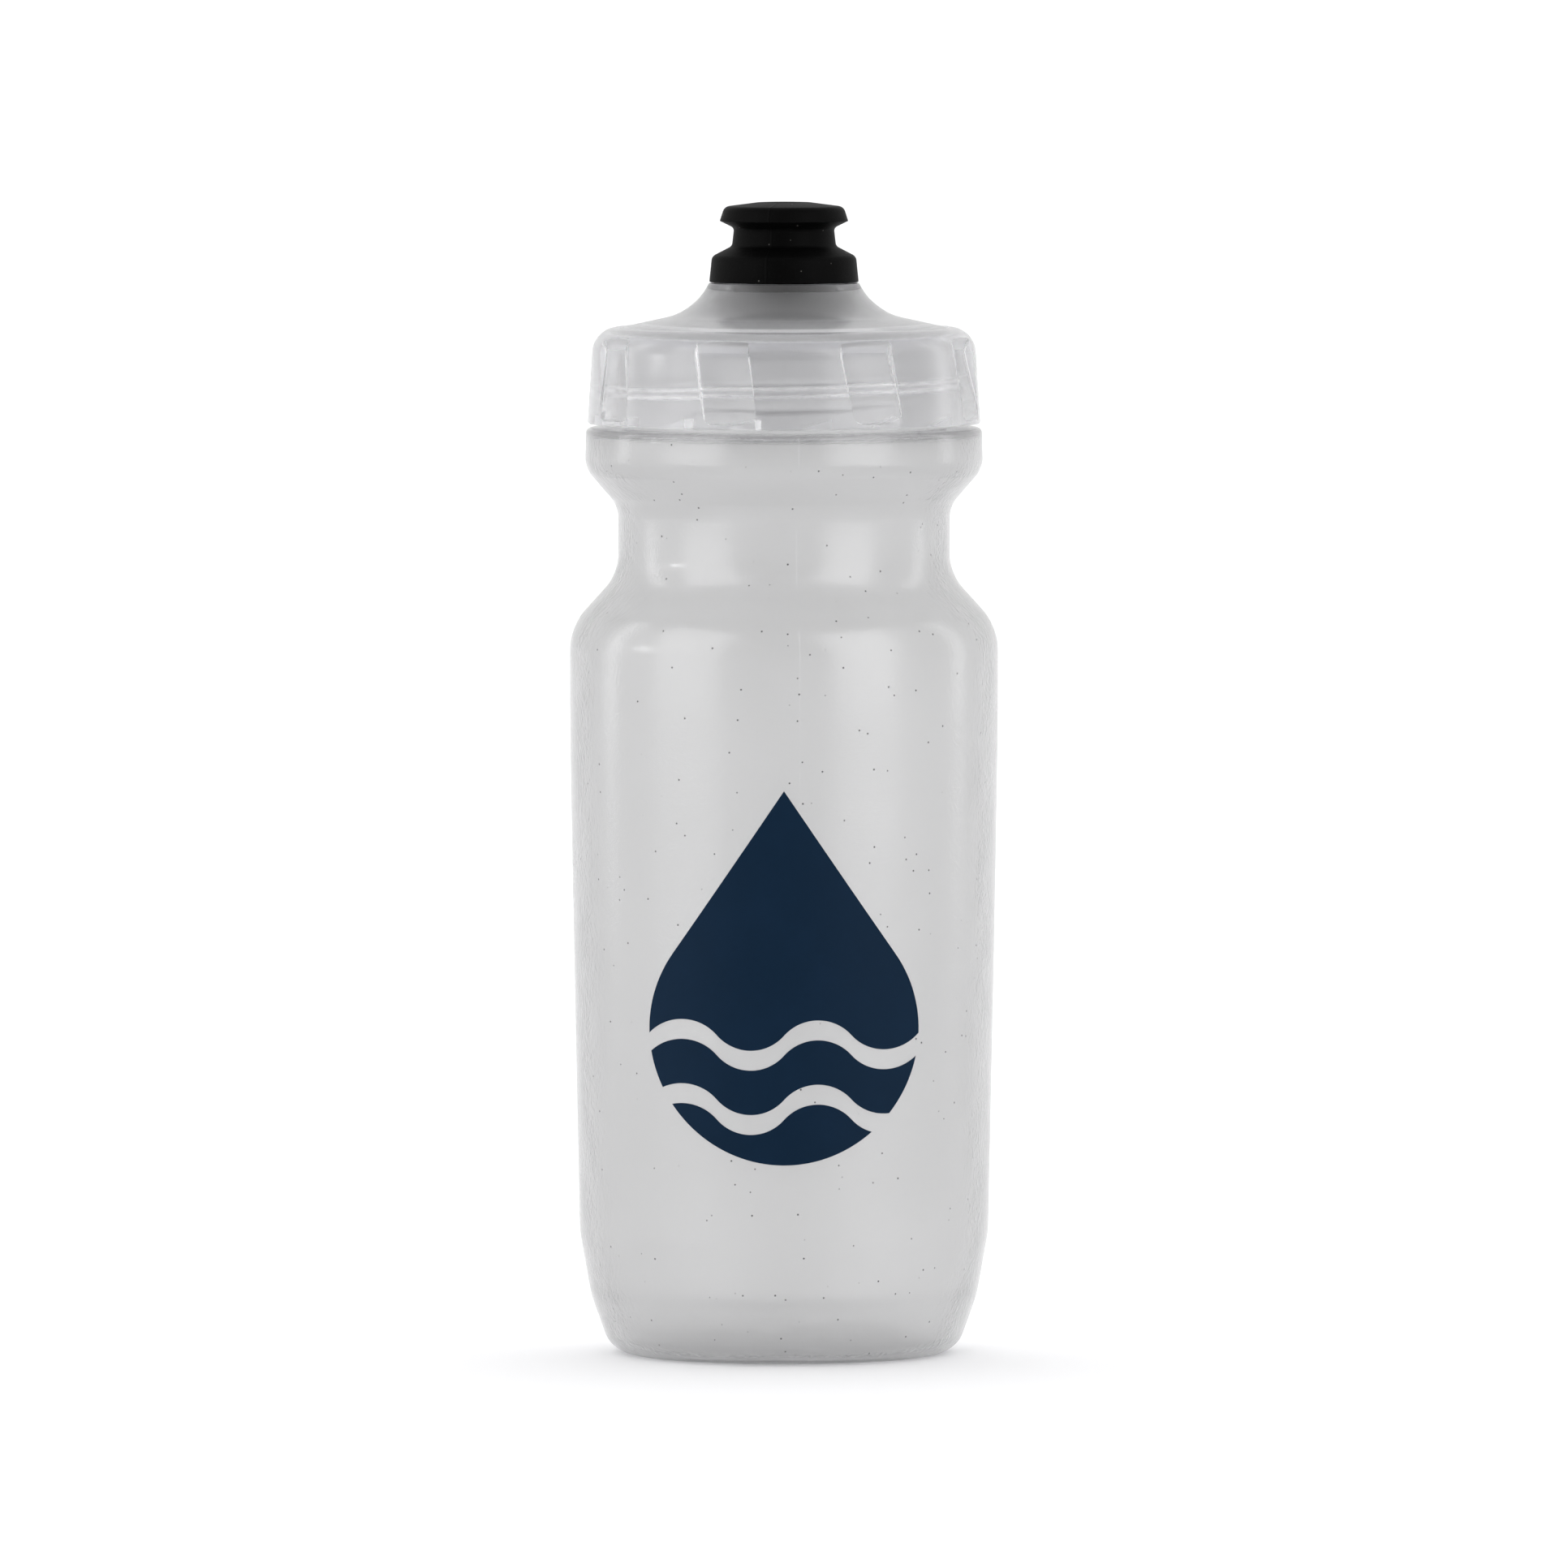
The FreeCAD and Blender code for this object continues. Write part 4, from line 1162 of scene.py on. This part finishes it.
@dataclass(frozen=True)
class Softbox:
    """A bright panel that shows in glossy surfaces: bearing in degrees from the front, sizes in metres."""

    name: str
    bearing: float
    distance: float
    height: float
    width: float
    tall: float
    brightness: float
    aim_height: float = 0.12

    def place(self) -> None:
        """Adds the panel and aims it at the bottle's middle."""
        angle = math.radians(self.bearing)
        lamp = bpy.data.lights.new(self.name, "AREA")
        lamp.shape = "RECTANGLE"
        lamp.size = self.width
        lamp.size_y = self.tall
        lamp.energy = self.brightness * math.pi * self.width * self.tall
        holder = bpy.data.objects.new(self.name, lamp)
        bpy.context.scene.collection.objects.link(holder)
        holder.location = (self.distance * math.sin(angle), -self.distance * math.cos(angle), self.height)
        aim = Vector((0, 0, self.aim_height)) - holder.location
        holder.rotation_euler = aim.to_track_quat("-Z", "Y").to_euler()
        holder.visible_diffuse = False
        holder.visible_transmission = False


@dataclass
class Studio:
    """A pale floor, an even white surround, softboxes and the camera."""

    floor_size: float = 60.0
    front_light: float = 0.45
    back_light: float = 1.0
    dims_between: tuple[float, float] = (-0.6, 0.3)
    top_light: float = 1.55
    top_spread: float = 120.0
    top_tilt: float = -20.0
    softboxes: tuple[Softbox, ...] = (
        Softbox("left_softbox", -54.0, 1.3, 0.62, 1.0, 1.3, 2.5),
        Softbox("right_softbox", 45.0, 1.3, 0.62, 1.0, 1.3, 2.7),
        Softbox("left_strip", -106.0, 1.3, 0.5, 0.2, 1.1, 3.0),
        Softbox("right_strip", 108.0, 1.3, 0.5, 0.2, 1.1, 2.6),
        Softbox("small_key", -82.0, 1.3, 0.34, 0.04, 0.1, 60.0),
    )
    camera_distance: float = 3.5
    camera_height: float = 0.292
    aim_height: float = 0.098
    field_at_bottle: float = 0.2694
    sensor_width: float = 36.0
    farthest: float = 200.0

    def build(self) -> None:
        """Sets up the floor, the surround, the lamps and the camera."""
        self.lay_floor()
        self.light_surround()
        self.light_floor()
        for softbox in self.softboxes:
            softbox.place()
        self.set_camera()
        bpy.context.scene.view_settings.view_transform = "Standard"

    def lay_floor(self) -> None:
        """Lays a wide plain floor at height 0."""
        nothing_selected()
        bpy.ops.mesh.primitive_plane_add(size=self.floor_size)
        floor = bpy.context.object
        floor.name = "studio_floor"
        material, tree, output = new_material("matt white paper")
        paper = add(tree, "ShaderNodeBsdfPrincipled", {"Base Color": linear("F6F6F7"), "Roughness": 0.9})
        tree.links.new(paper.outputs[0], output.inputs["Surface"])
        dress(floor, material)

    def light_surround(self) -> None:
        """Gives the world an even white light behind, which dims towards the front."""
        world = bpy.data.worlds.new("white surround")
        bpy.context.scene.world = world
        world.use_nodes = True
        tree = world.node_tree
        tree.nodes.clear()
        way = add(tree, "ShaderNodeTexCoord").outputs["Generated"]
        back = add(tree, "ShaderNodeSeparateXYZ", None, {0: way}).outputs["Y"]
        lights = (self.front_light, self.back_light)
        level = remap(tree, back, self.dims_between, lights, "SMOOTHSTEP")
        light = add(tree, "ShaderNodeBackground", {"Color": linear("FFFFFF")}, {"Strength": level})
        output = tree.nodes.new("ShaderNodeOutputWorld")
        tree.links.new(light.outputs[0], output.inputs["Surface"])

    def light_floor(self) -> None:
        """Hangs a very wide soft light overhead, for the floor and for whatever scatters light."""
        lamp = bpy.data.lights.new("overhead", "SUN")
        lamp.energy = self.top_light
        lamp.angle = math.radians(self.top_spread)
        holder = bpy.data.objects.new("overhead", lamp)
        bpy.context.scene.collection.objects.link(holder)
        holder.rotation_euler = (math.radians(self.top_tilt), 0, 0)
        holder.visible_glossy = False
        holder.visible_transmission = False

    def set_camera(self) -> None:
        """Puts a long lens in front, a little above the bottle."""
        lens = bpy.data.cameras.new("camera")
        lens.sensor_width = self.sensor_width
        lens.lens = self.sensor_width * self.camera_distance / self.field_at_bottle
        lens.clip_end = self.farthest
        camera = bpy.data.objects.new("camera", lens)
        bpy.context.scene.collection.objects.link(camera)
        camera.location = (0, -self.camera_distance, self.camera_height)
        aim = Vector((0, 0, self.aim_height)) - camera.location
        camera.rotation_euler = aim.to_track_quat("-Z", "Y").to_euler()
        bpy.context.scene.camera = camera


def main() -> None:
    """Builds every sub-assembly, then the studio."""
    logging.basicConfig(level=logging.INFO, format="%(name)s: %(message)s")
    for assembly in (SqueezeBottle(), ScrewCap(), DrinkValve(), PushPullNozzle()):
        for piece in assembly.build():
            LOG.info("%s: %s, %d faces", type(assembly).__name__, piece.name, len(piece.data.polygons))
    Studio().build()


if __name__ == "__main__":
    main()
